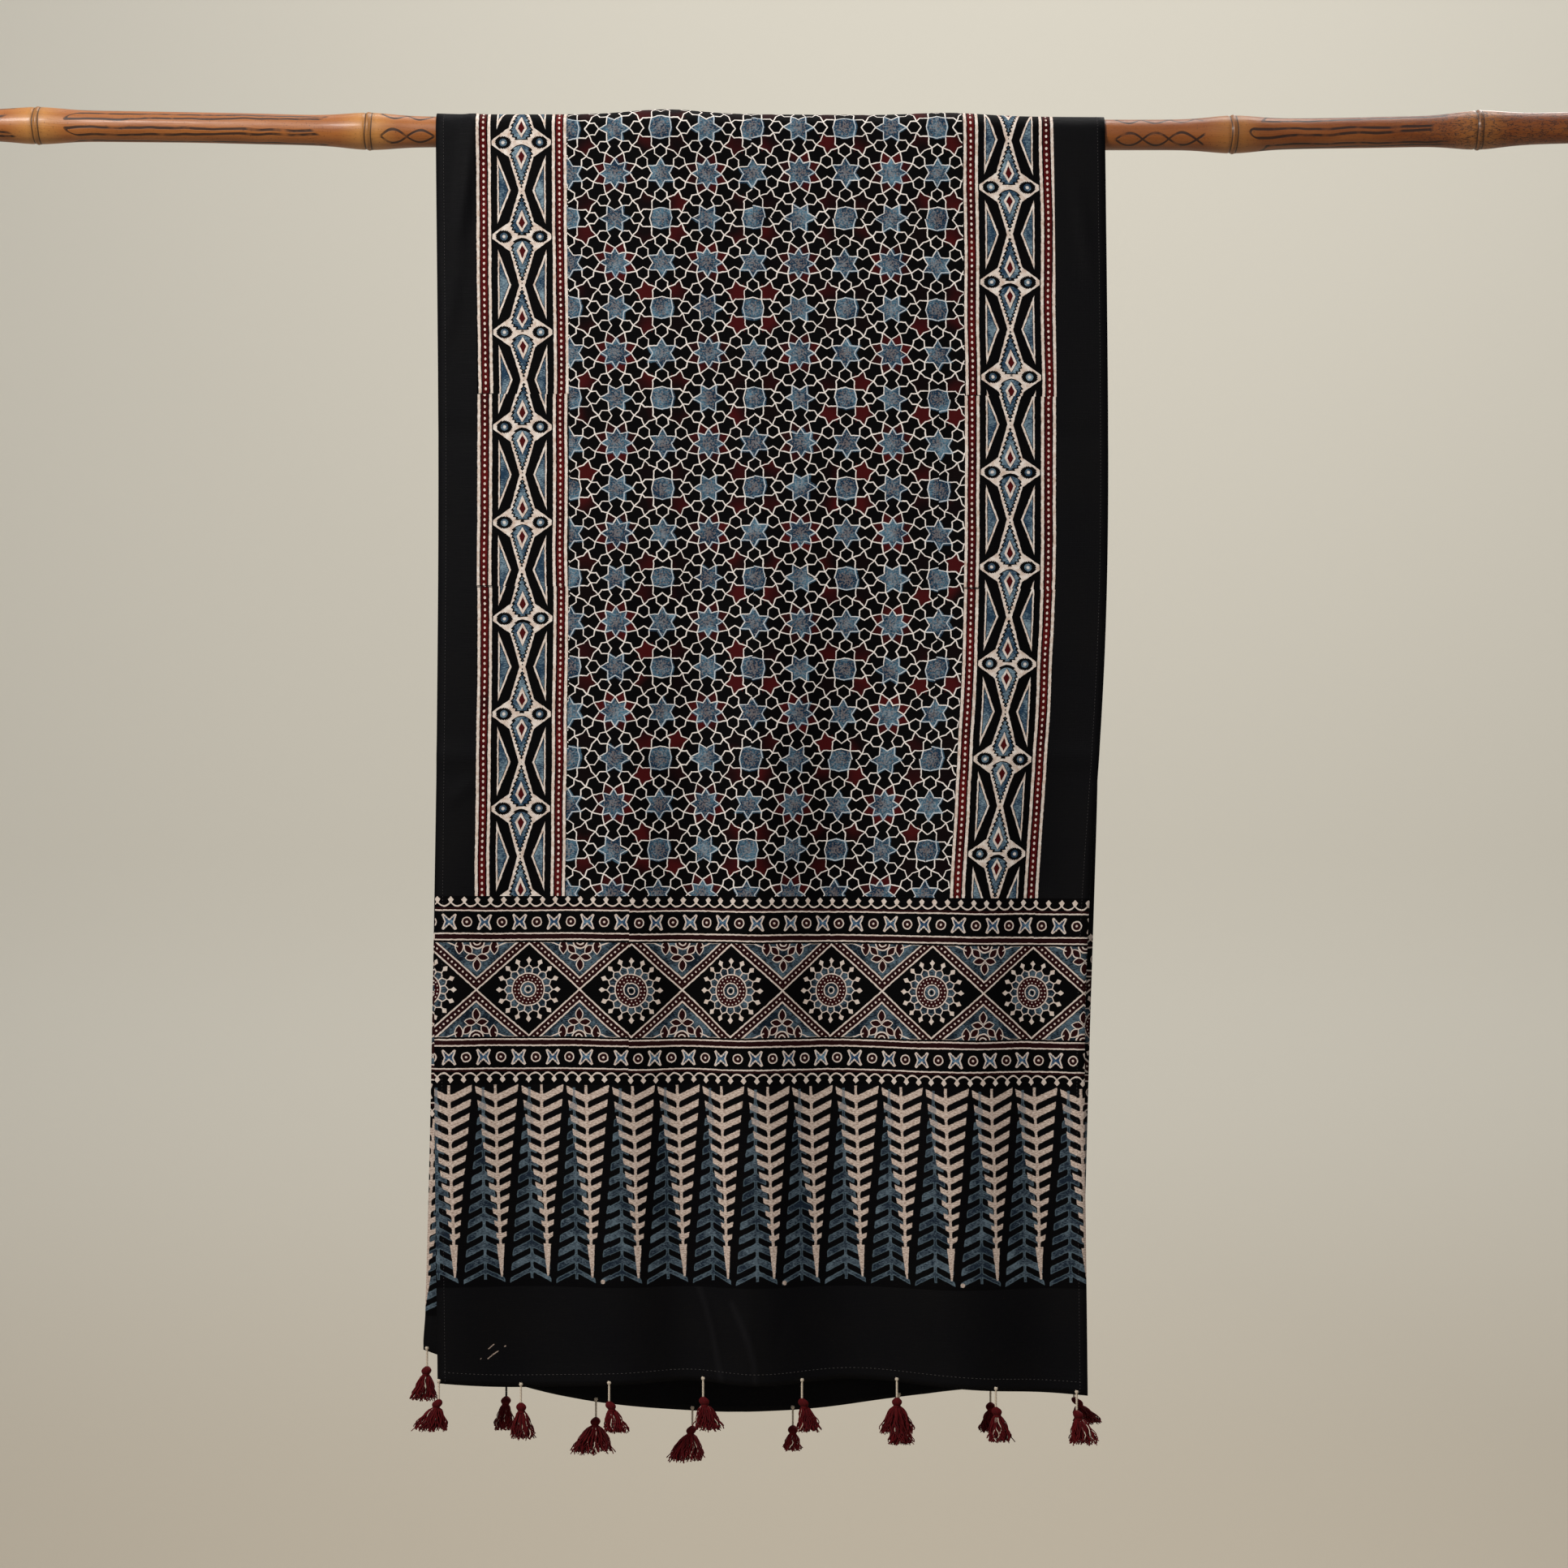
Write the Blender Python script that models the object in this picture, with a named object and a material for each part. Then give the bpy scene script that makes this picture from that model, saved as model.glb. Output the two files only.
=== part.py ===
"""A block-printed stole hanging over a lacquered bamboo pole, with eight tassels on each hem.

Metres, +Z up. The origin is on the pole's axis under the middle of the cloth. The pole runs
along X, the front fall of the cloth faces -Y and the back fall faces +Y.
"""
import math
from collections import namedtuple

import bpy
import bmesh

# ---- driving sizes ---------------------------------------------------------------------------
CLOTH_WIDTH = 0.546           # selvedge to selvedge, laid flat
CLOTH_THICKNESS = 0.0012
COLUMNS = 22                  # spans across the cloth
FALL_ROWS = 22                # spans down each fall
WRAP_ROWS = 8                 # spans over the pole
ON_POLE_GAP = 0.0010          # cloth to the round of the cane
ON_JOINT_GAP = 0.0020         # cloth to the raised rim of a cane joint

POLE_LENGTH = 1.360
CANE_RADIUS = 0.0125
POLE_SIDES = 16

TASSEL_GAP = 0.0004           # hem to the top of a tassel's cord
CORD_RADIUS = 0.0010
CORD_DROP = 0.0135
HEAD_RADIUS = 0.0034
HEAD_DROP = 0.0060
TASSEL_SIDES = 8
TASSEL_FLATNESS = 0.62        # front-to-back depth of a skirt over its width

FRONT = -1                    # the sign of Y on each fall
BACK = 1

# ---- tables ----------------------------------------------------------------------------------
# The cane joints: place along the pole, and how far the rim stands above the cane.
Joint = namedtuple("Joint", "along swell")
JOINTS = (
    Joint(-0.599, 0.0028),
    Joint(-0.328, 0.0030),
    Joint(-0.086, 0.0030),
    Joint(0.146, 0.0016),
    Joint(0.379, 0.0034),
    Joint(0.580, 0.0036),
)
JOINT_REACH = 0.016           # half the length of pole that a joint thickens

# The pole isn't quite straight: height of its axis along its length.
Bow = namedtuple("Bow", "along height")
POLE_BOW = (
    Bow(-0.68, 0.0062),
    Bow(-0.48, 0.0040),
    Bow(-0.30, 0.0004),
    Bow(0.00, 0.0000),
    Bow(0.28, -0.0022),
    Bow(0.46, -0.0008),
    Bow(0.68, 0.0042),
)

# Folds running down a fall: place across the cloth, how far the fold stands out (negative is a
# hollow), half its width, the drop below the pole where it begins, and the drop where it is full.
Fold = namedtuple("Fold", "across out half_width begins full")
FRONT_FOLDS = (
    Fold(-0.262, 0.0050, 0.030, 0.30, 0.80),
    Fold(-0.196, -0.0060, 0.034, 0.35, 0.85),
    Fold(-0.122, 0.0075, 0.034, 0.20, 0.70),
    Fold(-0.066, -0.0060, 0.028, 0.25, 0.75),
    Fold(-0.008, 0.0115, 0.036, 0.15, 0.65),
    Fold(0.074, -0.0110, 0.042, 0.20, 0.70),
    Fold(0.166, 0.0120, 0.042, 0.20, 0.75),
    Fold(0.240, -0.0075, 0.034, 0.30, 0.80),
)
BACK_FOLDS = (
    Fold(-0.180, -0.0060, 0.050, 0.30, 0.90),
    Fold(-0.060, 0.0080, 0.050, 0.25, 0.80),
    Fold(0.070, -0.0080, 0.050, 0.25, 0.80),
    Fold(0.190, 0.0080, 0.048, 0.30, 0.90),
)

# Each hem: how far below the pole's axis it hangs, across the cloth.
Hem = namedtuple("Hem", "across drop")
FRONT_HEM = (
    Hem(-0.273, 1.0210),
    Hem(-0.205, 1.0255),
    Hem(-0.125, 1.0220),
    Hem(-0.065, 1.0200),
    Hem(0.000, 1.0222),
    Hem(0.078, 1.0190),
    Hem(0.155, 1.0222),
    Hem(0.205, 1.0260),
    Hem(0.273, 1.0300),
)
BACK_HEM = (
    Hem(-0.273, 1.0010),
    Hem(-0.190, 1.0300),
    Hem(-0.110, 1.0470),
    Hem(-0.035, 1.0530),
    Hem(0.030, 1.0500),
    Hem(0.110, 1.0400),
    Hem(0.180, 1.0330),
    Hem(0.273, 1.0250),
)

# Where the left selvedge hangs on each fall.
Edge = namedtuple("Edge", "drop along")
FRONT_EDGE = (
    Edge(0.00, -0.2723),
    Edge(0.30, -0.2700),
    Edge(0.75, -0.2725),
    Edge(1.03, -0.2697),
)
BACK_EDGE = (
    Edge(0.00, -0.2723),
    Edge(0.40, -0.2735),
    Edge(0.80, -0.2800),
    Edge(1.03, -0.2860),
)
FALL_SPREAD = 0.0060          # the falls stand this much further out at the hems

Fall = namedtuple("Fall", "sign folds hem edge")
FALLS = {
    FRONT: Fall(FRONT, FRONT_FOLDS, FRONT_HEM, FRONT_EDGE),
    BACK: Fall(BACK, BACK_FOLDS, BACK_HEM, BACK_EDGE),
}

# The tassels: place across the cloth, sideways lean of the skirt, length from the hem to the
# skirt's end, and width of the skirt.
Tassel = namedtuple("Tassel", "across lean length spread")
FRONT_TASSELS = (
    Tassel(-0.2720, -0.0070, 0.0385, 0.029),
    Tassel(-0.2050, 0.0015, 0.0425, 0.020),
    Tassel(-0.1310, 0.0065, 0.0385, 0.020),
    Tassel(-0.0530, 0.0045, 0.0405, 0.024),
    Tassel(0.0320, 0.0065, 0.0405, 0.019),
    Tassel(0.1120, 0.0000, 0.0425, 0.028),
    Tassel(0.1950, 0.0045, 0.0415, 0.020),
    Tassel(0.2640, 0.0065, 0.0410, 0.024),
)
BACK_TASSELS = (
    Tassel(-0.2700, -0.0030, 0.0410, 0.021),
    Tassel(-0.2040, -0.0020, 0.0405, 0.016),
    Tassel(-0.1300, -0.0030, 0.0430, 0.036),
    Tassel(-0.0500, -0.0060, 0.0425, 0.030),
    Tassel(0.0340, 0.0000, 0.0335, 0.015),
    Tassel(0.1220, 0.0020, 0.0395, 0.021),
    Tassel(0.1990, 0.0010, 0.0380, 0.020),
    Tassel(0.2680, 0.0130, 0.0345, 0.023),
)


# ---- helpers ---------------------------------------------------------------------------------
def clear_scene():
    for old in list(bpy.data.objects):
        bpy.data.objects.remove(old, do_unlink=True)


def smoothstep(low, high, value):
    t = min(1.0, max(0.0, (value - low) / (high - low)))
    return t * t * (3.0 - 2.0 * t)


def along_table(rows, at):
    """The second column at a place in the first, on a smooth curve through every row."""
    if at <= rows[0][0]:
        return rows[0][1]
    if at >= rows[-1][0]:
        return rows[-1][1]
    i = 0
    while rows[i + 1][0] < at:
        i += 1

    def slope(k):
        before = rows[max(0, k - 1)]
        after = rows[min(len(rows) - 1, k + 1)]
        return (after[1] - before[1]) / (after[0] - before[0])

    x0, y0 = rows[i]
    x1, y1 = rows[i + 1]
    span = x1 - x0
    t = (at - x0) / span
    start = (2 * t ** 3 - 3 * t ** 2 + 1) * y0 + (t ** 3 - 2 * t ** 2 + t) * span * slope(i)
    end = (3 * t ** 2 - 2 * t ** 3) * y1 + (t ** 3 - t ** 2) * span * slope(i + 1)
    return start + end


def make_material(name, colour, roughness):
    material = bpy.data.materials.new(name)
    material.use_nodes = True
    shader = material.node_tree.nodes["Principled BSDF"]
    shader.inputs["Base Color"].default_value = (*colour, 1.0)
    shader.inputs["Roughness"].default_value = roughness
    shader.inputs["Metallic"].default_value = 0.0
    material.diffuse_color = (*colour, 1.0)
    return material


def add_object(name, shape, material, smooth=True):
    """Turn a bmesh into a named object with one material."""
    mesh = bpy.data.meshes.new(name)
    bmesh.ops.recalc_face_normals(shape, faces=shape.faces)
    shape.to_mesh(mesh)
    shape.free()
    if smooth:
        mesh.shade_smooth()
        mesh.set_sharp_from_angle(angle=math.radians(50))
    mesh.materials.append(material)
    piece = bpy.data.objects.new(name, mesh)
    bpy.context.scene.collection.objects.link(piece)
    return piece


def skin_rings(shape, rings):
    """Join a row of closed rings into a tube with flat ends."""
    for ring, following in zip(rings, rings[1:]):
        for k in range(len(ring)):
            after = (k + 1) % len(ring)
            shape.faces.new((ring[k], ring[after], following[after], following[k]))
    shape.faces.new(reversed(rings[0]))
    shape.faces.new(rings[-1])


# ---- the pole --------------------------------------------------------------------------------
def joint_profile(offset):
    """Share of a joint's swell at a distance along the pole: a steep rim on a wider thickening."""
    reach = abs(offset) / JOINT_REACH
    if reach >= 1.0:
        return 0.0
    return (1.0 - reach) ** 1.6


def pole_radius(along):
    return CANE_RADIUS + sum(j.swell * joint_profile(along - j.along) for j in JOINTS)


def pole_height(along):
    return along_table(POLE_BOW, along)


def pole_stations():
    """Places along the pole that need a ring: both ends, each joint, and between the joints."""
    half = POLE_LENGTH / 2.0
    stations = [-half, half]
    for joint in JOINTS:
        for share in (-1.0, -0.5, -0.18, 0.0, 0.18, 0.5, 1.0):
            stations.append(joint.along + share * JOINT_REACH)
    for left, right in zip(JOINTS, JOINTS[1:]):
        stations.append((left.along + right.along) / 2.0)
    return sorted(stations)


def build_pole(material):
    shape = bmesh.new()
    rings = []
    for along in pole_stations():
        radius = pole_radius(along)
        height = pole_height(along)
        ring = []
        for k in range(POLE_SIDES):
            turn = 2.0 * math.pi * k / POLE_SIDES
            place = (along, radius * math.cos(turn), height + radius * math.sin(turn))
            ring.append(shape.verts.new(place))
        rings.append(ring)
    skin_rings(shape, rings)
    return add_object("pole", shape, material)


# ---- the cloth -------------------------------------------------------------------------------
def wrap_radius(along):
    """Distance from the pole's axis to the middle of the cloth, bridging each joint softly."""
    over_cane = CANE_RADIUS + ON_POLE_GAP
    over_joint = 0.0
    for joint in JOINTS:
        rise = joint.swell + ON_JOINT_GAP - ON_POLE_GAP
        over_joint = max(over_joint, rise * math.exp(-((along - joint.along) / 0.040) ** 2))
    return over_cane + over_joint + CLOTH_THICKNESS / 2.0


def fall_depth(fall, across, drop):
    """How far the middle of the cloth stands from the pole's axis, at a drop below the pole."""
    at_pole = wrap_radius(across)
    plumb = CANE_RADIUS + ON_POLE_GAP + CLOTH_THICKNESS / 2.0
    depth = plumb + (at_pole - plumb) * math.exp(-drop / 0.12)
    depth += FALL_SPREAD * smoothstep(0.0, 1.0, drop)
    for fold in fall.folds:
        shape = math.exp(-((across - fold.across) / fold.half_width) ** 2)
        depth += fold.out * shape * smoothstep(fold.begins, fold.full, drop)
    return depth


def column_places():
    return [CLOTH_WIDTH * (k / COLUMNS - 0.5) for k in range(COLUMNS + 1)]


def fall_row(fall, share):
    """One row of points across a fall, at a share of the way from the pole to the hem.

    The selvedge is placed first. The row then runs on along the folds by its real width, so the
    deeper the folds are, the narrower the fall hangs.
    """
    steps = 8
    places = column_places()
    mean_drop = share * along_table(fall.hem, 0.0)
    along = along_table(fall.edge, mean_drop)
    depth = fall_depth(fall, places[0], mean_drop)
    points = []
    for k, across in enumerate(places):
        if k > 0:
            step = (across - places[k - 1]) / steps
            for part in range(steps):
                place = places[k - 1] + (part + 1) * step
                next_depth = fall_depth(fall, place, mean_drop)
                along += math.sqrt(step ** 2 - (next_depth - depth) ** 2)
                depth = next_depth
        top = pole_height(along)
        drop = share * (along_table(fall.hem, across) + top)
        points.append((along, fall.sign * depth, top - drop))
    return points


def wrap_row(share):
    """One row of points across the part that lies on the pole, from the front to the back."""
    turn = math.pi * share
    points = []
    for along, depth, top in fall_row(FALLS[FRONT], 0.0):
        radius = abs(depth)
        points.append((along, -radius * math.cos(turn), top + radius * math.sin(turn)))
    return points


def cloth_rows():
    """All rows of the cloth, from the front hem over the pole to the back hem."""
    rows = [fall_row(FALLS[FRONT], 1.0 - k / FALL_ROWS) for k in range(FALL_ROWS)]
    rows += [wrap_row(k / WRAP_ROWS) for k in range(WRAP_ROWS + 1)]
    rows += [fall_row(FALLS[BACK], (k + 1) / FALL_ROWS) for k in range(FALL_ROWS)]
    return rows


def build_cloth(material):
    shape = bmesh.new()
    grid = [[shape.verts.new(point) for point in row] for row in cloth_rows()]
    for lower, upper in zip(grid, grid[1:]):
        for k in range(COLUMNS):
            shape.faces.new((lower[k], lower[k + 1], upper[k + 1], upper[k]))
    cloth = add_object("cloth", shape, material)
    thickness = cloth.modifiers.new("thickness", "SOLIDIFY")
    thickness.thickness = CLOTH_THICKNESS
    thickness.offset = 0.0
    return cloth


# ---- the tassels -----------------------------------------------------------------------------
Turn = namedtuple("Turn", "drop lean width flat")


def tassel_profile(tassel):
    """The rings of one tassel, from the top of its cord to the end of its skirt."""
    head_top = CORD_DROP
    neck = head_top + HEAD_DROP
    skirt = tassel.length - neck
    half = tassel.spread / 2.0
    return (
        Turn(0.0, 0.0, CORD_RADIUS, 1.0),
        Turn(head_top, 0.0, CORD_RADIUS, 1.0),
        Turn(head_top + 0.35 * HEAD_DROP, 0.02, HEAD_RADIUS, 1.0),
        Turn(neck, 0.08, 0.72 * HEAD_RADIUS, 1.0),
        Turn(neck + 0.20 * skirt, 0.25, max(0.46 * half, HEAD_RADIUS), 0.85),
        Turn(neck + 0.62 * skirt, 0.68, 0.84 * half, TASSEL_FLATNESS),
        Turn(neck + 0.93 * skirt, 0.95, half, TASSEL_FLATNESS),
        Turn(tassel.length, 1.0, 0.72 * half, TASSEL_FLATNESS),
    )


def hem_point(fall, across):
    """The middle of the hem's edge at a place across the cloth, by its two nearest columns."""
    row = fall_row(fall, 1.0)
    place = (across / CLOTH_WIDTH + 0.5) * COLUMNS
    k = min(COLUMNS - 1, int(place))
    t = place - k
    return [a + t * (b - a) for a, b in zip(row[k], row[k + 1])]


def build_tassel(name, fall, tassel, material):
    along, depth, height = hem_point(fall, tassel.across)
    shape = bmesh.new()
    rings = []
    for turn in tassel_profile(tassel):
        ring = []
        for k in range(TASSEL_SIDES):
            angle = 2.0 * math.pi * (k + 0.5) / TASSEL_SIDES
            ring.append(shape.verts.new((
                along + turn.lean * tassel.lean + turn.width * math.cos(angle),
                depth + turn.width * turn.flat * math.sin(angle),
                height - TASSEL_GAP - turn.drop,
            )))
        rings.append(ring)
    skin_rings(shape, rings)
    return add_object(name, shape, material)


def main():
    clear_scene()
    printed_cloth = make_material("printed_cloth", (0.02, 0.02, 0.023), 0.72)
    lacquered_cane = make_material("lacquered_cane", (0.33, 0.14, 0.045), 0.30)
    maroon_yarn = make_material("maroon_yarn", (0.11, 0.008, 0.008), 0.80)
    build_pole(lacquered_cane)
    build_cloth(printed_cloth)
    for number, tassel in enumerate(FRONT_TASSELS, start=1):
        build_tassel(f"tassel_front_{number}", FALLS[FRONT], tassel, maroon_yarn)
    for number, tassel in enumerate(BACK_TASSELS, start=1):
        build_tassel(f"tassel_back_{number}", FALLS[BACK], tassel, maroon_yarn)


main()
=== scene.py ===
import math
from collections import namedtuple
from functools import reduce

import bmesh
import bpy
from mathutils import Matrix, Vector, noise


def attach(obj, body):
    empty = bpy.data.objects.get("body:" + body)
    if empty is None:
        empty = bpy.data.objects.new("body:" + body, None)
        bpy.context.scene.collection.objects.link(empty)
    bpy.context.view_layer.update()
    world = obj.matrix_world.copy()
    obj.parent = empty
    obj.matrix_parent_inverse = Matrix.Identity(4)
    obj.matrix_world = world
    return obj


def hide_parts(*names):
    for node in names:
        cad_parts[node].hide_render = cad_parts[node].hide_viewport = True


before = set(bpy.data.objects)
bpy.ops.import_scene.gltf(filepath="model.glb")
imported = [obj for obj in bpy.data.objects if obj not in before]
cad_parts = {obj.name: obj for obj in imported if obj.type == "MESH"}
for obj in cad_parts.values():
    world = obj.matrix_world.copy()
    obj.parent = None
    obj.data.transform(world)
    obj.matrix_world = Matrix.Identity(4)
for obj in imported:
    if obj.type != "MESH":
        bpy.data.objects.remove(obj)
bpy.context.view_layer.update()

# %% [markdown]
# # A block-printed stole on a bamboo pole
#
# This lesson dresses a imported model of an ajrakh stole: a long, narrow cloth printed with carved
# blocks in black, indigo, madder red and the cream of the bare fabric, hung evenly over a
# lacquered cane. The frame gives the pole, the cloth and sixteen tassels as plain solids. Here
# each of them gets its fine shape and its finish. Everything is in metres, +Z up, and the front
# fall of the cloth faces -Y.

SEED = 11
print("frame nodes:", len(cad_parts))


# %% [markdown]
# ## The room: camera, sweep and lamps
#
# The cloth is seen square on, from the height of its middle, with a long lens so that the
# selvedges stay straight. The backdrop is a seamless sweep: a wall that curves into a pale
# floor, made by pushing one profile sideways. It stands far back, so that the same room serves
# a camera that walks round behind the pole. One large soft lamp hangs high on the left, which
# is why the print is brightest near the pole and falls off towards the hems, and two weak ones
# keep the other sides readable.

# %% Camera
CAMERA_PLACE = (0.0116, -2.8, -0.534)
SEEN_WIDTH = 1.2848           # width of the view at the pole
SENSOR = 36.0

camera_data = bpy.data.cameras.new("camera")
camera_data.sensor_width = SENSOR
camera_data.lens = SENSOR * abs(CAMERA_PLACE[1]) / SEEN_WIDTH
camera = bpy.data.objects.new("camera", camera_data)
camera.location = CAMERA_PLACE
camera.rotation_euler = (math.radians(90.0), 0.0, 0.0)
bpy.context.scene.collection.objects.link(camera)
bpy.context.scene.camera = camera
print("lens: %.1f mm" % camera_data.lens)

# %% Helpers for pieces, nodes and materials


def finished_mesh(name, shape):
    """A bmesh as a plain mesh."""
    mesh = bpy.data.meshes.new(name)
    shape.to_mesh(mesh)
    shape.free()
    return mesh


def add_piece(name, mesh, *materials):
    for material in materials:
        mesh.materials.append(material)
    piece = bpy.data.objects.new(name, mesh)
    bpy.context.scene.collection.objects.link(piece)
    return piece


def set_input(socket, value):
    """Gives an input a plain value, or links another node's output to it."""
    value = getattr(value, "socket", value)
    if isinstance(value, bpy.types.NodeSocket):
        socket.id_data.links.new(value, socket)
    else:
        socket.default_value = value


def add_node(tree, kind, settings=None, **inputs):
    """A node with its settings and its inputs given by name, an underscore for each space."""
    node = tree.nodes.new(kind)
    for name, value in (settings or {}).items():
        setattr(node, name, value)
    for name, value in inputs.items():
        label = name.replace("_", " ")
        set_input(next(s for s in node.inputs if s.name == label and s.enabled), value)
    return node


def new_material(name, **inputs):
    """A material, its node tree and its shader, with some of the shader's inputs set."""
    material = bpy.data.materials.new(name)
    material.use_nodes = True
    tree = material.node_tree
    shader = tree.nodes["Principled BSDF"]
    for label, value in inputs.items():
        set_input(shader.inputs[label.replace("_", " ")], value)
    return material, tree, shader


print("helpers for pieces, nodes and materials ready")

# %% The seamless sweep
WALL_Y = 5.4
FLOOR_Z = -2.3
SWEEP_RADIUS = 1.6
SWEEP_HALF_WIDTH = 9.0
SWEEP_STEPS = 16
FLOOR_FRONT = -9.0
WALL_TOP = 6.0
SHADE_FADES_AT = -1.0         # height at which the painted shade low on the sweep has faded into the wall's colour
# The sweep is one pale colour; the darker colour low down is painted shade.
FLOOR_SHADE_COLOUR = (0.47, 0.415, 0.33, 1.0)
WALL_COLOUR = (0.60, 0.57, 0.495, 1.0)


def sweep_profile():
    """Places from the front edge of the floor, round the curve, to the top of the wall."""
    places = [(FLOOR_FRONT, FLOOR_Z)]
    for k in range(SWEEP_STEPS + 1):
        turn = math.radians(90.0 * k / SWEEP_STEPS)
        along = WALL_Y - SWEEP_RADIUS + SWEEP_RADIUS * math.sin(turn)
        places.append((along, FLOOR_Z + SWEEP_RADIUS * (1.0 - math.cos(turn))))
    places.append((WALL_Y, WALL_TOP))
    return places


def build_sweep():
    shape = bmesh.new()
    edges = []
    for y, z in sweep_profile():
        edges.append([shape.verts.new((side * SWEEP_HALF_WIDTH, y, z)) for side in (-1, 1)])
    for near, far in zip(edges, edges[1:]):
        shape.faces.new((near[0], near[1], far[1], far[0]))
    mesh = finished_mesh("sweep", shape)
    mesh.shade_smooth()
    return mesh


def sweep_painted_shade():
    paint, tree, shader = new_material("sweep_painted_shade", Roughness=0.95)
    coordinates = add_node(tree, "ShaderNodeTexCoord")
    height = add_node(tree, "ShaderNodeSeparateXYZ", Vector=coordinates.outputs["Object"])
    fade = add_node(tree, "ShaderNodeMapRange", {"interpolation_type": "SMOOTHSTEP"},
                    Value=height.outputs["Z"], From_Min=FLOOR_Z, From_Max=SHADE_FADES_AT)
    # painted shade: the sweep darkens from the wall's colour towards the floor
    shade_wash = add_node(tree, "ShaderNodeValToRGB", Fac=fade.outputs["Result"])
    for element, colour in zip(shade_wash.color_ramp.elements, (FLOOR_SHADE_COLOUR, WALL_COLOUR)):
        element.color = colour
    set_input(shader.inputs["Base Color"], shade_wash.outputs["Color"])
    return paint


sweep = add_piece("sweep", build_sweep(), sweep_painted_shade())
print("sweep faces:", len(sweep.data.polygons))

# %% Lamps and the light of the room
ROOM_COLOUR = (0.90, 0.93, 1.0, 1.0)
ROOM_STRENGTH = 0.38


def add_lamp(name, place, aim, size, power, colour):
    data = bpy.data.lights.new(name, "AREA")
    data.shape = "DISK"
    data.size = size
    data.energy = power
    data.color = colour
    lamp = bpy.data.objects.new(name, data)
    lamp.location = place
    towards = Vector(aim) - Vector(place)
    lamp.rotation_euler = towards.to_track_quat("-Z", "Y").to_euler()
    bpy.context.scene.collection.objects.link(lamp)
    return lamp


add_lamp("key_lamp", (-1.15, -1.75, 1.05), (0.0, 0.0, -0.35), 0.7, 62.0, (1.0, 0.97, 0.93))
add_lamp("wall_lamp", (0.6, 1.2, 2.9), (0.3, WALL_Y, -0.9), 3.0, 185.0, (1.0, 0.99, 0.96))
add_lamp("back_lamp", (1.8, 2.6, 1.3), (0.0, 0.0, -0.4), 1.6, 60.0, (1.0, 0.97, 0.93))

room = bpy.data.worlds.new("room_light")
room.use_nodes = True
background = room.node_tree.nodes["Background"]
background.inputs["Color"].default_value = ROOM_COLOUR
background.inputs["Strength"].default_value = ROOM_STRENGTH
bpy.context.scene.world = room
bpy.context.scene.view_settings.view_transform = "Standard"


# %% [markdown]
# ## How the cloth hangs
#
# A long cloth over a pole is three surfaces in one: a front fall, a half turn over the pole and
# a back fall. Gravity keeps the falls plumb, and the slack in the weave gathers into soft folds
# that start a little below the pole and deepen towards the hems. A cloth simulation would find
# folds of its own, but not these ones, so they are placed from short tables, a row for
# each fold, and the rest is arithmetic: the selvedge is placed first and each row then runs on
# across its folds by its real width, so that deeper folds draw the fall narrower.

# %% Sizes and tables of the drape
CLOTH_WIDTH = 0.546
CLOTH_THICKNESS = 0.0007
CANE_RADIUS = 0.0125
CLOTH_OFF_CANE = 0.0016       # from the cane to the middle of the cloth
HALF_WIDTH = CLOTH_WIDTH / 2.0

Joint = namedtuple("Joint", "along swell")
JOINTS = (
    Joint(-0.599, 0.0028), Joint(-0.328, 0.0030), Joint(-0.086, 0.0030),
    Joint(0.146, 0.0016), Joint(0.379, 0.0034), Joint(0.580, 0.0036),
)
Bow = namedtuple("Bow", "along height")
POLE_BOW = (
    Bow(-0.68, 0.0062), Bow(-0.48, 0.0040), Bow(-0.30, 0.0004), Bow(0.00, 0.0000),
    Bow(0.28, -0.0022), Bow(0.46, -0.0008), Bow(0.68, 0.0042),
)
Fold = namedtuple("Fold", "across out half_width begins full")
FRONT_FOLDS = (
    Fold(-0.262, 0.0050, 0.030, 0.30, 0.80), Fold(-0.196, -0.0060, 0.034, 0.35, 0.85),
    Fold(-0.122, 0.0075, 0.034, 0.20, 0.70), Fold(-0.066, -0.0060, 0.028, 0.25, 0.75),
    Fold(-0.008, 0.0115, 0.036, 0.15, 0.65), Fold(0.074, -0.0110, 0.042, 0.20, 0.70),
    Fold(0.166, 0.0120, 0.042, 0.20, 0.75), Fold(0.240, -0.0075, 0.034, 0.30, 0.80),
)
BACK_FOLDS = (
    Fold(-0.180, -0.0060, 0.050, 0.30, 0.90), Fold(-0.060, 0.0080, 0.050, 0.25, 0.80),
    Fold(0.070, -0.0080, 0.050, 0.25, 0.80), Fold(0.190, 0.0080, 0.048, 0.30, 0.90),
)
Hem = namedtuple("Hem", "across drop")
FRONT_HEM = (
    Hem(-0.273, 1.0210), Hem(-0.205, 1.0255), Hem(-0.125, 1.0220), Hem(-0.065, 1.0200),
    Hem(0.000, 1.0222), Hem(0.078, 1.0190), Hem(0.155, 1.0222), Hem(0.205, 1.0260),
    Hem(0.273, 1.0300),
)
BACK_HEM = (
    Hem(-0.273, 1.0010), Hem(-0.190, 1.0300), Hem(-0.110, 1.0470), Hem(-0.035, 1.0530),
    Hem(0.030, 1.0500), Hem(0.110, 1.0400), Hem(0.180, 1.0330), Hem(0.273, 1.0250),
)
Edge = namedtuple("Edge", "drop along")
FRONT_EDGE = (Edge(0.00, -0.2723), Edge(0.30, -0.2700), Edge(0.75, -0.2725), Edge(1.03, -0.2697))
BACK_EDGE = (Edge(0.00, -0.2723), Edge(0.40, -0.2735), Edge(0.80, -0.2800), Edge(1.03, -0.2860))
FALL_SPREAD = 0.0060          # how much further out a fall hangs a metre down
JOINT_LIFT = 0.0010           # the cloth over a joint stands this far above its swell
JOINT_REACH = 0.040           # how far the cloth bridges to each side of a joint
JOINT_FADE = 0.12             # the drop over which a joint's lift dies away
Fall = namedtuple("Fall", "sign folds hem edge")
FRONT = Fall(-1, FRONT_FOLDS, FRONT_HEM, FRONT_EDGE)
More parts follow.
